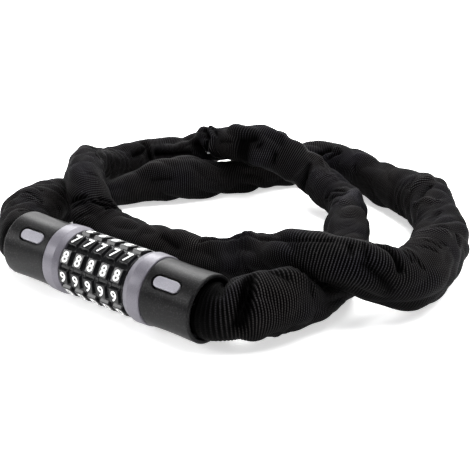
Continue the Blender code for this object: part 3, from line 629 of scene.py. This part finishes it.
# Folds read the same way, each a straight line on the sleeve; a crease has a negative height
FOLDS = (
    # left bend by the plug
    (47, 0, 44, 36, 1.8, -2.2), (44, -8, 41, 28, 2.0, 1.2),
    (57, 6, 54, 24, 1.4, -0.9), (25, 6, 27, 32, 1.2, -1.0),
    (18, 4, 20, 29, 1.2, -1.0), (38, -34, 32, -28, 1.2, -0.8),
    # left loop
    (721, 26, 714, 60, 1.8, -2.6), (704, 40, 703, 66, 1.2, -0.8),
    (660, -22, 656, 2, 1.0, -1.4), (656, 2, 651, 34, 1.0, -1.4),
    (660, 2, 656, 32, 0.9, -1.0), (653, -4, 649, 25, 1.0, -1.2),
    (663, -31, 666, -82, 1.0, -1.3), (661, -38, 662, -75, 1.0, -1.0),
    (656, -70, 655, -50, 1.0, -0.7), (675, 8, 674, 25, 1.2, -0.5),
    # back, left half
    (784, 54, 792, 46, 2.4, -1.8), (792, 46, 799, 26, 2.4, -1.8),
    (798, 8, 799, 72, 2.6, -1.7), (806, 62, 822, 74, 2.2, -2.0),
    (822, 74, 838, 84, 2.2, -2.0), (843, 60, 851, 110, 4.0, -3.0),
    (851, 20, 857, 55, 2.0, -3.0), (857, 55, 854, 98, 2.0, -3.0),
    (856, 14, 860, 55, 1.6, 1.2), (860, 55, 858, 94, 1.6, 1.2),
    (858, 22, 864, 48, 1.5, -1.5), (870, 80, 878, 77, 1.3, -0.9),
    # strand under it
    (143, 55, 154, 62, 1.4, -1.0), (172, 10, 176, 40, 1.6, -0.6),
    # back, right half
    (888, 46, 884, 64, 3.0, -2.0), (884, 64, 885, 118, 3.6, -2.4),
    (892, 112, 897, 84, 4.0, 1.0), (893, 55, 892, 68, 1.4, -1.3),
    (902, 68, 903, 95, 1.2, -1.7), (901, 15, 903, 34, 1.2, -0.9),
    (924, 45, 928, 70, 2.6, -2.2), (928, 70, 930, 112, 2.6, -1.4),
    (922, 36, 920, 108, 1.5, 1.0), (928, 40, 937, 25, 6.0, 1.6),
    (925, -2, 944, -2, 2.5, 1.0),
    # down to the crossing
    (953, 74, 967, 8, 1.3, -1.5), (966, 66, 975, 6, 1.3, -1.5),
    (985, 45, 988, 18, 1.2, -1.0), (966, -24, 991, 12, 3.5, 2.0),
    # far right
    (255, 52, 264, 30, 2.2, -2.2), (260, 60, 268, 12, 1.4, 1.2),
    (266, 58, 271, 28, 1.6, -1.6), (284, 12, 296, 5, 2.5, 1.2),
    (289, 50, 291, 62, 1.2, -1.0), (345, 28, 349, 55, 1.0, -0.8),
    (350, 28, 352, 50, 1.0, -0.8), (353, 0, 357, 48, 2.0, 1.4),
    (361, 8, 368, 33, 1.5, -1.8), (366, 28, 372, 45, 2.0, -1.4),
    (373, 56, 384, 10, 2.0, 1.3), (407, 30, 397, 8, 1.5, -1.2),
    (431, 14, 425, -12, 2.0, -2.2), (437, 25, 431, -18, 2.2, 1.5),
    (424, -42, 430, -55, 1.2, -1.2), (443, -18, 441, -34, 1.2, -1.0),
    # right bend
    (458, -3, 455, -30, 0.9, -0.8), (452, 0, 449, -28, 0.9, -0.8),
    (447, -5, 444, -28, 0.9, -0.8), (472, -4, 469, -52, 1.0, -1.0),
    (476, -6, 474, -35, 1.0, -0.9), (488, 2, 484, -16, 2.0, -2.8),
    (484, -16, 481, -56, 2.0, -2.8), (495, -60, 488, -78, 2.5, -1.5),
    (488, -75, 483, -98, 3.0, -1.6),
    # near strand
    (497, -12, 495, -45, 1.0, -1.2), (502, -25, 501, -45, 1.0, -1.2),
    (586, -18, 572, -2, 0.8, -0.8), (572, -2, 551, -14, 0.8, -0.8),
    (551, -14, 531, -38, 0.8, -0.8), (531, -38, 520, -42, 0.8, -0.8),
    (520, -42, 509, -20, 0.8, -0.8), (607, -30, 597, -45, 2.0, -1.2),
    (597, -8, 589, -28, 3.0, 1.2),
    # bulge by the body's cap
    (1127, -6, 1130, -35, 2.4, -4.0), (1130, -35, 1132, -62, 2.4, -4.0),
    (1132, -62, 1134, -95, 2.6, -3.0), (1124, -5, 1127, -50, 2.0, 0.8),
    (1117, 2, 1113, -22, 1.2, -1.2), (1104, -20, 1102, -50, 1.2, -1.0),
    (1138, 40, 1140, -20, 3.0, -2.4),
)
FOLD_DEPTH = 1.35
HIDDEN_FOLDS = 120
HIDDEN_FROM = 0.10
HIDDEN_OVER = 0.4
CHANCE_START = 60.0
CHANCE_STOP = 50.0
CHANCE_SLANT = 9.0
CHANCE_TURN = (25.0, 75.0)
CHANCE_WIDTH = (1.2, 3.2)
CHANCE_HEIGHT = (-1.8, 1.1)
TINY = 1e-9


def fold_line(row):
    """Height of one fold over the sleeve."""
    start, first, end, last, width, height = row
    turn = math.radians(near_degrees(last - first))
    run = (end - start) / MM
    over = near_angle(PHI, math.radians(first)) * radius_here
    ahead = S - start / MM
    reach = turn * radius_here
    share = np.clip((ahead * run + over * reach) / (run ** 2 + reach ** 2 + TINY), 0.0, 1.0)
    apart = (ahead - share * run) ** 2 + (over - share * reach) ** 2
    return height / MM * np.exp(-apart / (width / MM) ** 2)


def chance_fold():
    """Row for a weaker fold in a chance place."""
    start = random.uniform(CHANCE_START, LENGTH * MM - CHANCE_STOP)
    first = random.uniform(-180.0, 180.0)
    end = start + random.uniform(-CHANCE_SLANT, CHANCE_SLANT)
    last = first + random.uniform(*CHANCE_TURN)
    return start, first, end, last, random.uniform(*CHANCE_WIDTH), random.uniform(*CHANCE_HEIGHT)


def all_folds():
    """Creases and ridges: those read from the photograph, and chance ones where it can't be seen."""
    facing = np.sum(outward * unit(np.array(camera.location) - nominal), axis=-1)
    hidden = np.clip(HIDDEN_FROM - facing, 0.0, HIDDEN_OVER) / HIDDEN_OVER
    low_side = np.zeros_like(S)
    high_side = np.zeros_like(S)
    for row in FOLDS:
        here = fold_line(row)
        low_side = np.minimum(low_side, FOLD_DEPTH * here)
        high_side = np.maximum(high_side, FOLD_DEPTH * here)
    for _ in range(HIDDEN_FOLDS):
        here = hidden * fold_line(chance_fold())
        low_side = np.minimum(low_side, here)
        high_side = np.maximum(high_side, here)
    return low_side, high_side


# Painted light and shade on the weave: painted shade in creases, underneath and at the caps' mouths,
# painted highlight on ridges

MOUTH_DARK = 0.0095
MOUTH_FADE = 0.0065
UNDER_FROM = 0.75
UNDER_OVER = 0.85
UNDER_LEAST = 0.35
UNDER_GAIN = 0.65
CREASE_BLACK = 0.0048
RIDGE_LIGHT = 0.0060


def weave_shade():
    """Painted shading from 0 to 1, with 0.5 for the plain weave."""
    mouth = np.clip((from_end - MOUTH_DARK) / MOUTH_FADE, 0.0, 1.0)
    under = np.clip((outward[..., 2] + UNDER_FROM) / UNDER_OVER, 0.0, 1.0)
    folded = np.clip(0.5 + creases / CREASE_BLACK + ridges / RIDGE_LIGHT, 0.0, 1.0)
    return folded * (mouth * (UNDER_LEAST + UNDER_GAIN * under))


# Room for strands that pass each other, which share the gap between them

ROOM_MOST = 0.004
ROOM_SEARCH = 0.019
ROOM_SHARE = 0.45
ROOM_RINGS = 2
ROOM_SIDES = 3
ROOM_SPREADS = 3
OTHER_STRAND = 0.06
ROUTE_STEP = 4


def room_between():
    """How far each place may stand out before it meets the strand beside it."""
    tree = KDTree(len(fine) // ROUTE_STEP)
    for k in range(0, len(fine) // ROUTE_STEP * ROUTE_STEP, ROUTE_STEP):
        tree.insert(fine[k, :3], k)
    tree.balance()
    room = np.full(S.shape, ROOM_MOST)
    for i in range(0, len(ring_at), ROOM_RINGS):
        for j in range(0, SIDES, ROOM_SIDES):
            patch = room[i:i + ROOM_RINGS, j:j + ROOM_SIDES]
            for _, k, distance in tree.find_range(nominal[i, j], ROOM_SEARCH):
                if abs(along[k] - ring_at[i]) > OTHER_STRAND:
                    np.minimum(patch, ROOM_SHARE * (distance - fine[k, 3]), out=patch)
    for _ in range(ROOM_SPREADS):
        beside = np.minimum(np.roll(room, 1, axis=1), np.roll(room, -1, axis=1))
        room = np.minimum(room, beside)
    return room


# Surface of the sleeve: how far it stands off the plain tube, then flattened on the floor

PLAIN_END = 0.010
PLAIN_FADE = 0.008
MOUTH_SWELL = 0.0012
MOUTH_SWELL_AT = 0.0085
MOUTH_SWELL_WIDTH = 0.0040
RIB_HEIGHT = 0.00028
RIB_SINK = 0.7
REACH = 0.0177
FLOOR_TOUCH = 0.0012
FLOOR_GAP = 0.0003
FLOOR_EASE = 0.0009


def rib_rise():
    """Height of each ring within its rib: a half-round."""
    across_rib = np.arange(len(ring_at)) % RINGS / RINGS
    round_top = np.sqrt(np.clip(1.0 - (2 * across_rib - 1.0) ** 2, 0.0, 1.0))
    return RIB_HEIGHT * (round_top - RIB_SINK)[:, None]


def standing():
    """Height of the sleeve's surface over the plain tube."""
    swells = sum(fold_line(row) for row in SWELLS)
    stand = (squared_section() - 1.0) * radius_here + link_bumps() + wrinkle + crumples()
    stand = stand + creases + ridges + swells
    stand *= np.clip((from_end - PLAIN_END) / PLAIN_FADE, 0.0, 1.0)
    stand += MOUTH_SWELL * np.exp(-((LENGTH - S - MOUTH_SWELL_AT) / MOUTH_SWELL_WIDTH) ** 2)
    stand = stand + rib_rise()
    return np.minimum(np.minimum(stand, room_between()), REACH - radius_here)


def on_floor(places):
    """Places with those below the floor's touch eased up to lie on it."""
    height = places[..., 2]
    lifted = FLOOR_GAP + FLOOR_EASE * np.exp((height - FLOOR_TOUCH) / FLOOR_EASE)
    places[..., 2] = np.where(height < FLOOR_TOUCH, lifted, height)
    return places


wrinkle = wrinkles()
creases, ridges = all_folds()
# Painted shade and painted highlight of the sleeve, from its creases, ridges, undersides and the caps'
# mouths
painted_shading = weave_shade()
points = on_floor(nominal + standing()[..., None] * outward)


# Meshes of the sleeve, parted at the seam


def tube(name, first, last, capped):
    """Mesh tube between two rings, with distance along it and turn round it as its map."""
    rows = points[first:last + 1]
    count = len(rows)
    ring = np.arange(count - 1)[:, None] * SIDES
    side = np.arange(SIDES)[None, :]
    after = (side + 1) % SIDES
    corners = (ring + side, ring + after, ring + SIDES + after, ring + SIDES + side)
    quads = np.stack(corners, axis=-1).reshape(-1, 4)
    faces = quads[:, ::-1].tolist()
    if capped == "first":
        faces.append(list(range(SIDES)))
    if capped == "last":
        faces.append(list(range(count * SIDES - 1, (count - 1) * SIDES - 1, -1)))
    mesh = bpy.data.meshes.new(name)
    mesh.from_pydata(rows.reshape(-1, 3).tolist(), [], faces)
    low_u = (first + np.arange(count - 1)[:, None]) / RINGS + 0 * side
    low_v = side / SIDES + 0 * ring
    spots = np.stack([
        np.stack([low_u + 1 / RINGS, low_v], axis=-1),
        np.stack([low_u + 1 / RINGS, low_v + 1 / SIDES], axis=-1),
        np.stack([low_u, low_v + 1 / SIDES], axis=-1),
        np.stack([low_u, low_v], axis=-1),
    ], axis=2).reshape(-1, 2)
    cap_spots = np.zeros((len(mesh.loops) - len(spots), 2))
    layer = mesh.uv_layers.new(name="weave")
    layer.data.foreach_set("uv", np.concatenate([spots, cap_spots]).astype(np.float32).ravel())
    # Painted shade and painted highlight of the weave, stored per point for its material
    layer = mesh.attributes.new("painted_light_and_shade", "FLOAT", "POINT")
    layer.data.foreach_set("value", painted_shading[first:last + 1].astype(np.float32).ravel())
    mesh.shade_smooth()
    mesh.validate()
    return mesh


seam_ring = int(round(SEAM / LENGTH * ribs)) * RINGS
plug_links = ("plug_link_1", "plug_link_2")
near_links = ("body_link_25", "body_link_26", "body_link_27")
plug_mesh = tube("woven_sleeve_plug_end", 0, seam_ring, "first")
plug_piece = add_piece("woven_sleeve_plug_end", plug_mesh, SLEEVE, None,
                       ("plug_sleeve", *plug_links, *near_links))
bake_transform(plug_piece)
body_mesh = tube("woven_sleeve", seam_ring, len(ring_at) - 1, "last")
body_piece = add_piece("woven_sleeve", body_mesh, SLEEVE, "lock_body", ("chain_sleeve",))


# End caps, collars and inlays

LATHE_SIDES = 160
CAP_START = 0.03215
CAP_END = 0.06125
CAP_NECK = 0.0158
CAP_SHOULDER = 0.0167
CAP_WAIST = (
    (0.0327, 0.01668), (0.0373, 0.01645), (0.0425, 0.01632), (0.0485, 0.01632),
    (0.0540, 0.01645), (0.0580, 0.01660), (0.0602, 0.01665),
)
WAIST_STEPS = 3
RIM_RADIUS = 0.01660
MOUTH_RADIUS = 0.0147
MOUTH_FLOOR = 0.05445
THROAT_RADIUS = 0.0130
THROAT_FLOOR = 0.04605
HUB_RADIUS = 0.0098
SHOULDER_ROUND = 0.0005
RIM_ROUND = 0.0010
RIM_INNER_ROUND = 0.0005
THROAT_ROUND = 0.0003

COLLAR_START = 0.02155
COLLAR_END = 0.03185
COLLAR_SLOPE = 0.0034
COLLAR_FRONT = 0.0164
COLLAR_CREST = 0.0175
COLLAR_BACK = 0.0172
COLLAR_FALL = 0.0003
COLLAR_STEPS = 6
COLLAR_ROUND = 0.0006
CREST_ROUND = 0.0003
COLLAR_BORE = 0.0105
WEB_START = 0.0232
WEB_END = 0.0296
WEB_BORE = 0.0068
DIAL_SIDE_BORE = 0.0108

KEYWAY_HALF = 0.0017
KEYWAY_FOOT = 0.0032
KEYWAY_TOP = 0.0079
KEYWAY_PAST = 0.0005

INLAY_PLACE = 0.04445
INLAY_ANGLE = math.radians(47.0)
INLAY_LENGTH = 0.0149
INLAY_WIDTH = 0.0055
INLAY_ARC = 18
INLAY_LEVELS = (
    (0.0152, 0.0), (0.01618, 0.0), (0.01634, 0.00005),
    (0.01644, 0.00016), (0.01648, 0.0004), (0.01650, 0.0010),
)
POCKET_LENGTH = 0.0173
POCKET_WIDTH = 0.0079
POCKET_LEVELS = ((0.0146, 0.0), (0.0180, 0.0))


def cap_section(side):
    """Closed section of a cap: outside to the rim, then back through the mouth, throat and hub."""
    waist = np.array(CAP_WAIST)
    outer = [(CAP_START, CAP_NECK, 0.0), (CAP_START, CAP_SHOULDER, SHOULDER_ROUND)]
    outer += [(x, r, 0.0) for x, r in spline(np.column_stack((waist, waist * 0)), WAIST_STEPS)[1:, :2]]
    rim = [(CAP_END, RIM_RADIUS, RIM_ROUND), (CAP_END, MOUTH_RADIUS, RIM_INNER_ROUND)]
    inner = [
        (MOUTH_FLOOR, MOUTH_RADIUS, 0.0),
        (MOUTH_FLOOR, THROAT_RADIUS, THROAT_ROUND),
        (THROAT_FLOOR, THROAT_RADIUS, 0.0),
        (THROAT_FLOOR, HUB_RADIUS, 0.0),
        (CAP_START, HUB_RADIUS, 0.0),
    ]
    return [(side * p.x, p.y) for p in fillet(outer + rim + inner)]


def collar_section(side):
    """Closed section of a collar: a slope by the dials, then a slightly crowned band, a bore and a web."""
    crest = COLLAR_START + COLLAR_SLOPE
    outer = [(COLLAR_START, COLLAR_FRONT, COLLAR_ROUND), (crest, COLLAR_CREST, CREST_ROUND)]
    for k in range(1, COLLAR_STEPS):
        t = k / COLLAR_STEPS
        x = crest + t * (COLLAR_END - COLLAR_START - COLLAR_SLOPE)
        outer.append((x, COLLAR_CREST - COLLAR_FALL * t ** 2, 0.0))
    outer.append((COLLAR_END, COLLAR_BACK, COLLAR_ROUND))
    inner = [
        (COLLAR_END, COLLAR_BORE, 0.0),
        (WEB_END, COLLAR_BORE, 0.0),
        (WEB_END, WEB_BORE, 0.0),
        (WEB_START, WEB_BORE, 0.0),
        (WEB_START, DIAL_SIDE_BORE, 0.0),
        (COLLAR_START, DIAL_SIDE_BORE, 0.0),
    ]
    return [(side * p.x, p.y) for p in fillet(outer + inner)]


def keyway():
    """Block to cut the way for the plug's teeth through the entry collar."""
    ends = (-COLLAR_END - KEYWAY_PAST, -COLLAR_START + KEYWAY_PAST)
    corners = ((ends[0], -1), (ends[1], -1), (ends[1], 1), (ends[0], 1))
    loops = []
    for height in (KEYWAY_FOOT, KEYWAY_TOP):
        loops.append([Vector((x, way * KEYWAY_HALF, AXIS_Z + height)) for x, way in corners])
    return to_mesh(stack(loops), "keyway")


def add_cap(side, body, prefix):
    """Cap with a pocket, and the inlay in it."""
    place = side * INLAY_PLACE
    shell = lathe(f"{prefix}_cap_shell", cap_section(side), LATHE_SIDES)
    pocket = oval("pocket", POCKET_LENGTH, POCKET_WIDTH, POCKET_LEVELS, place, INLAY_ANGLE)
    add_piece(f"{prefix}_cap_shell", cut(shell, pocket), CAP, body, (f"{prefix}_cap",))
    name = f"{prefix}_inlay_plate"
    plate = oval(name, INLAY_LENGTH, INLAY_WIDTH, INLAY_LEVELS, place, INLAY_ANGLE, INLAY_ARC)
    add_piece(name, plate, INLAY, body, (f"{prefix}_inlay",))


def add_collar(side, collar):
    """Collar, with the keyway where the plug enters."""
    ring = lathe(f"{collar}_ring", collar_section(side), LATHE_SIDES)
    if collar == "entry_collar":
        ring = cut(ring, keyway())
    add_piece(f"{collar}_ring", ring, COLLAR, "lock_body", (collar,))


add_cap(1, "lock_body", "body")
add_collar(1, "body_collar")
add_cap(-1, "plug", "plug")
add_collar(-1, "entry_collar")


# Number rings

DIALS = 5
DIGITS = 10
DIAL_PITCH = 0.0085
DIGIT_ANGLE = math.radians(33.0)
FRONT_DIGIT = 8
SECTOR = math.tau / DIGITS
DIAL_HALF = 0.0041
DIAL_BORE = 0.0103
DIAL_SIDE = 0.0148
BAND_RADIUS = 0.0146
TILE_FACE = 0.0165
TILE_HALF_WIDTH = 0.0034
TILE_HALF = math.atan2(TILE_HALF_WIDTH, TILE_FACE)
FLANK_SHARE = 0.6
FLANK = FLANK_SHARE * (SECTOR / 2 - TILE_HALF)
TILE_FOOT = TILE_HALF + FLANK
TILE_STEPS = (0.55, 0.93, 1.0)
TILE_EDGE = 0.99
TILE_EDGE_DROP = 0.00006
FLANK_STEPS = (0.10, 0.28, 0.8)
FLANK_STRAIGHT = 0.10
FLANK_POWER = 1.15
GROOVE_RADIUS = 0.0151

# Profile of a ring along X: the tiles' rolled left edge and their run, as places and drops, then the
# step down to the band, as places and shares of the tiles' height, and the band's right edge
ROLLED_EDGE = ((0.0, 0.00062), (0.00010, 0.00042), (0.00038, 0.00008), (0.00052, 0.00001), (0.00072, 0.0))
TILE_RUN = ((0.0, 0.0), (0.00142, 0.0), (0.00160, 0.00001))
BAND_STEP = ((0.00172, 0.93), (0.00196, 0.16), (0.00210, 0.03))
BAND_START = 0.00235
BAND_EDGE = ((0.00016, 0.0), (0.00004, 0.00006), (0.0, 0.0002))


def tile_angles():
    """Angles across one tile and half of the groove on each side of it."""
    turns = [0.0] + [share * TILE_HALF for share in TILE_STEPS]
    turns += [TILE_HALF + share * (TILE_FOOT - TILE_HALF) for share in FLANK_STEPS]
    turns += [TILE_FOOT, 0.5 * (TILE_FOOT + SECTOR / 2)]
    return [-turn for turn in reversed(turns[1:])] + turns + [SECTOR / 2]


def tile_height(turn):
    """Radius of a tile's flat face, its flank or the groove beside it."""
    turn = abs(turn)
    if turn <= TILE_HALF:
        return TILE_FACE / math.cos(turn) - (TILE_EDGE_DROP if turn > TILE_EDGE * TILE_HALF else 0.0)
    t = min((turn - TILE_HALF) / (TILE_FOOT - TILE_HALF), 1.0)
    if t == 1.0:
        return GROOVE_RADIUS
    top = TILE_FACE / math.cos(TILE_HALF)
    fall = FLANK_STRAIGHT * t + (1 - FLANK_STRAIGHT) * t ** FLANK_POWER
    return top + (GROOVE_RADIUS - top) * fall


def dial_mesh(name, middle):
    """Number ring: ten flat tiles with rolled edges at the left and a plain band at the right."""
    angles = tile_angles()
    heights = [tile_height(turn) for turn in angles]

    def tiles(x, drop=0.0, base=DIAL_SIDE, share=1.0):
        """Loop round the tiles, lowered by a drop, or flattened towards a base."""
        made = []
        for k in range(DIGITS):
            for turn, height in zip(angles, heights):
                radius = base + (height - drop - base) * share
                made.append(polar(middle + x, radius, DIGIT_ANGLE + k * SECTOR + turn))
        return made

    def circle(x, radius):
        """Loop at one radius."""
        return tiles(x, base=radius, share=0.0)

    left, right = -DIAL_HALF, DIAL_HALF
    rows = [circle(left, DIAL_BORE), circle(left, DIAL_SIDE)]
    rows += [tiles(left + x, drop) for x, drop in ROLLED_EDGE]
    rows += [tiles(x, drop) for x, drop in TILE_RUN]
    rows += [tiles(x, base=BAND_RADIUS, share=share) for x, share in BAND_STEP]
    rows += [circle(BAND_START, BAND_RADIUS)]
    rows += [circle(right - x, BAND_RADIUS - drop) for x, drop in BAND_EDGE]
    rows += [circle(right, DIAL_BORE)]
    return to_mesh(stack(rows, closed=True), name, TILE_EDGE_ANGLE)


FIGURE_HEIGHT = 0.0056
FIGURE_NARROW = 0.98
FIGURE_LEFT = 0.0010
FIGURE_RADIUS = 0.01651
STROKE_SWELL = 0.014
FIGURE_THICKNESS = 0.012
CURVE_STEPS = 6


def digit_outline(figure):
    """Thin mesh of one figure, centred, with a height of one."""
    curve = bpy.data.curves.new(f"figure_{figure}", "FONT")
    curve.body = str(figure)
    curve.size = 1.0
    curve.offset = STROKE_SWELL
    curve.extrude = FIGURE_THICKNESS
    curve.resolution_u = CURVE_STEPS
    made = bpy.data.objects.new(f"figure_{figure}", curve)
    scene.collection.objects.link(made)
    graph = bpy.context.evaluated_depsgraph_get()
    mesh = bpy.data.meshes.new_from_object(made.evaluated_get(graph))
    bpy.data.objects.remove(made)
    bpy.data.curves.remove(curve)
    spots = np.array([v.co[:] for v in mesh.vertices])
    lowest, highest = spots.min(axis=0), spots.max(axis=0)
    scale = 1.0 / (highest[1] - lowest[1])
    mesh.transform(Matrix.Scale(scale, 4) @ Matrix.Translation(-Vector((lowest + highest) / 2)))
    return mesh


figures = [digit_outline(k) for k in range(DIGITS)]


def digits_mesh(name, middle):
    """All ten figures of one number ring."""
    bm = bmesh.new()
    size = Matrix.Diagonal((FIGURE_HEIGHT * FIGURE_NARROW, FIGURE_HEIGHT, FIGURE_HEIGHT, 1.0))
    for figure, mesh in enumerate(figures):
        angle = DIGIT_ANGLE + (FRONT_DIGIT - figure) * math.tau / DIGITS
        out = Vector((0.0, -math.cos(angle), math.sin(angle)))
        up = Vector((0.0, math.sin(angle), math.cos(angle)))
        spot = Vector((middle - FIGURE_LEFT, 0.0, AXIS_Z)) + out * FIGURE_RADIUS
        turn = Matrix((Vector((1.0, 0.0, 0.0)), up, out)).transposed().to_4x4()
        copy = mesh.copy()
        copy.transform(Matrix.Translation(spot) @ turn @ size)
        bm.from_mesh(copy)
        bpy.data.meshes.remove(copy)
    return to_mesh(bm, name)


def add_dial(number):
    """Number ring and its painted figures."""
    body = f"dial_{number}"
    middle = (number - 1 - (DIALS - 1) / 2) * DIAL_PITCH
    ring = dial_mesh(f"{body}_ring", middle)
    made = add_piece(f"{body}_ring", ring, DIAL, body, (f"number_dial_{number}",))
    weigh = made.modifiers.new("normals", "WEIGHTED_NORMAL")
    weigh.keep_sharp = True
    add_piece(f"{body}_figures", digits_mesh(f"{body}_figures", middle), PAINT, body)


for number in range(1, DIALS + 1):
    add_dial(number)


# Finishes of the CAD nodes

def finish_of(name):
    """Material of a CAD node, by its name; links are what is left."""
    if name.startswith("code_ring"):
        return BRASS
    if name in ("detent_leaf", "wave_washer", "retaining_clip"):
        return SPRING
    if name in ("lock_tube", "plug_shank") or name.endswith(("_pin", "_screw")):
        return PLATED
    if name.endswith("sleeve_clamp"):
        return BLACKENED
    if name.endswith("_sleeve"):
        return SLEEVE
    if name.startswith("number_dial"):
        return DIAL
    if name.endswith("_cap"):
        return CAP
    if name.endswith("_collar"):
        return COLLAR
    if name.endswith("_inlay"):
        return INLAY
    return CHAIN_STEEL


for name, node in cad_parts.items():
    node.data.materials.clear()
    node.data.materials.append(finish_of(name))


# Floor, which glows a little so that shadows stay as pale as in the photograph

FLOOR_HALF = 12.0


def add_floor():
    """Plain pale floor."""
    look = Look("white_floor", Base_Color=(0.95, 0.95, 0.95, 1.0), Roughness=0.7, Specular_IOR_Level=0.0,
                Emission_Color=(1.0, 1.0, 1.0, 1.0), Emission_Strength=0.56)
    mesh = bpy.data.meshes.new("floor")
    corners = [(x * FLOOR_HALF, y * FLOOR_HALF, 0.0) for x, y in ((-1, -1), (1, -1), (1, 1), (-1, 1))]
    mesh.from_pydata(corners, [], [(0, 1, 2, 3)])
    mesh.materials.append(look.material)
    floor = bpy.data.objects.new("floor", mesh)
    scene.collection.objects.link(floor)


# Light of the room and lamps

WALL_TOWARD = (-0.5, 0.866, 0.0)
DOWN = (0.0, 0.0, -1.0)
RIGHT = (1.0, 0.0, 0.0)
RIGHT_LEVEL = 0.15
ROOM_LIGHT = 0.18
WALL_LIGHT = 2.30
LAMP_AIM = Vector((0.0, 0.04, 0.02))


def studio_world():
    """White wall low behind the lock, with a dimmer room above, in front and at the right."""
    world = bpy.data.worlds.new("studio")
    world.use_nodes = True
    sky = world.node_tree
    backdrop = sky.nodes["Background"]
    backdrop.inputs["Color"].default_value = (1.0, 1.0, 1.0, 1.0)
    toward = sky.nodes.new("ShaderNodeTexCoord").outputs["Generated"]

    def fade(axis, first, last, level=1.0):
        """Light that rises from none to a level as the direction leans towards an axis."""
        lean = sky.nodes.new("ShaderNodeVectorMath")
        lean.operation = "DOT_PRODUCT"
        sky.links.new(toward, lean.inputs[0])
        lean.inputs[1].default_value = axis
        made = sky.nodes.new("ShaderNodeMapRange")
        made.interpolation_type = "SMOOTHSTEP"
        sky.links.new(lean.outputs["Value"], made.inputs["Value"])
        made.inputs["From Min"].default_value = first
        made.inputs["From Max"].default_value = last
        made.inputs["To Max"].default_value = level
        return made.outputs["Result"]

    def combine(operation, first, second):
        """Two lights joined by one sum."""
        made = sky.nodes.new("ShaderNodeMath")
        made.operation = operation
        sky.links.new(first, made.inputs[0])
        sky.links.new(second, made.inputs[1])
        return made.outputs[0]

    behind = fade(WALL_TOWARD, first=0.15, last=0.60)
    beneath = fade(DOWN, first=-0.68, last=-0.55)
    beside = fade(RIGHT, first=-0.15, last=0.35, level=RIGHT_LEVEL)
    both = combine("MAXIMUM", combine("MULTIPLY", behind, beneath), beside)
    strength = sky.nodes.new("ShaderNodeMapRange")
    sky.links.new(both, strength.inputs["Value"])
    strength.inputs["To Min"].default_value = ROOM_LIGHT
    strength.inputs["To Max"].default_value = WALL_LIGHT
    sky.links.new(strength.outputs["Result"], backdrop.inputs["Strength"])
    return world


def lamp(name, direction, distance, size, power):
    """Square soft lamp in a direction from the lock, facing it."""
    data = bpy.data.lights.new(name, "AREA")
    data.size = size
    data.energy = power
    made = bpy.data.objects.new(name, data)
    away = Vector(direction).normalized()
    made.location = LAMP_AIM + away * distance
    made.rotation_euler = away.to_track_quat("Z", "Y").to_euler()
    scene.collection.objects.link(made)


add_floor()
scene.world = studio_world()
lamp("front_box", direction=(-0.657, -0.630, 0.425), distance=0.95, size=0.34, power=4.4)
lamp("top_box", direction=(0.15, 0.25, 0.95), distance=1.6, size=1.6, power=54.0)
lamp("back_strip", direction=(-0.60, 0.52, 0.61), distance=1.2, size=0.52, power=11.0)
scene.view_settings.view_transform = "Standard"
scene.view_settings.look = "None"
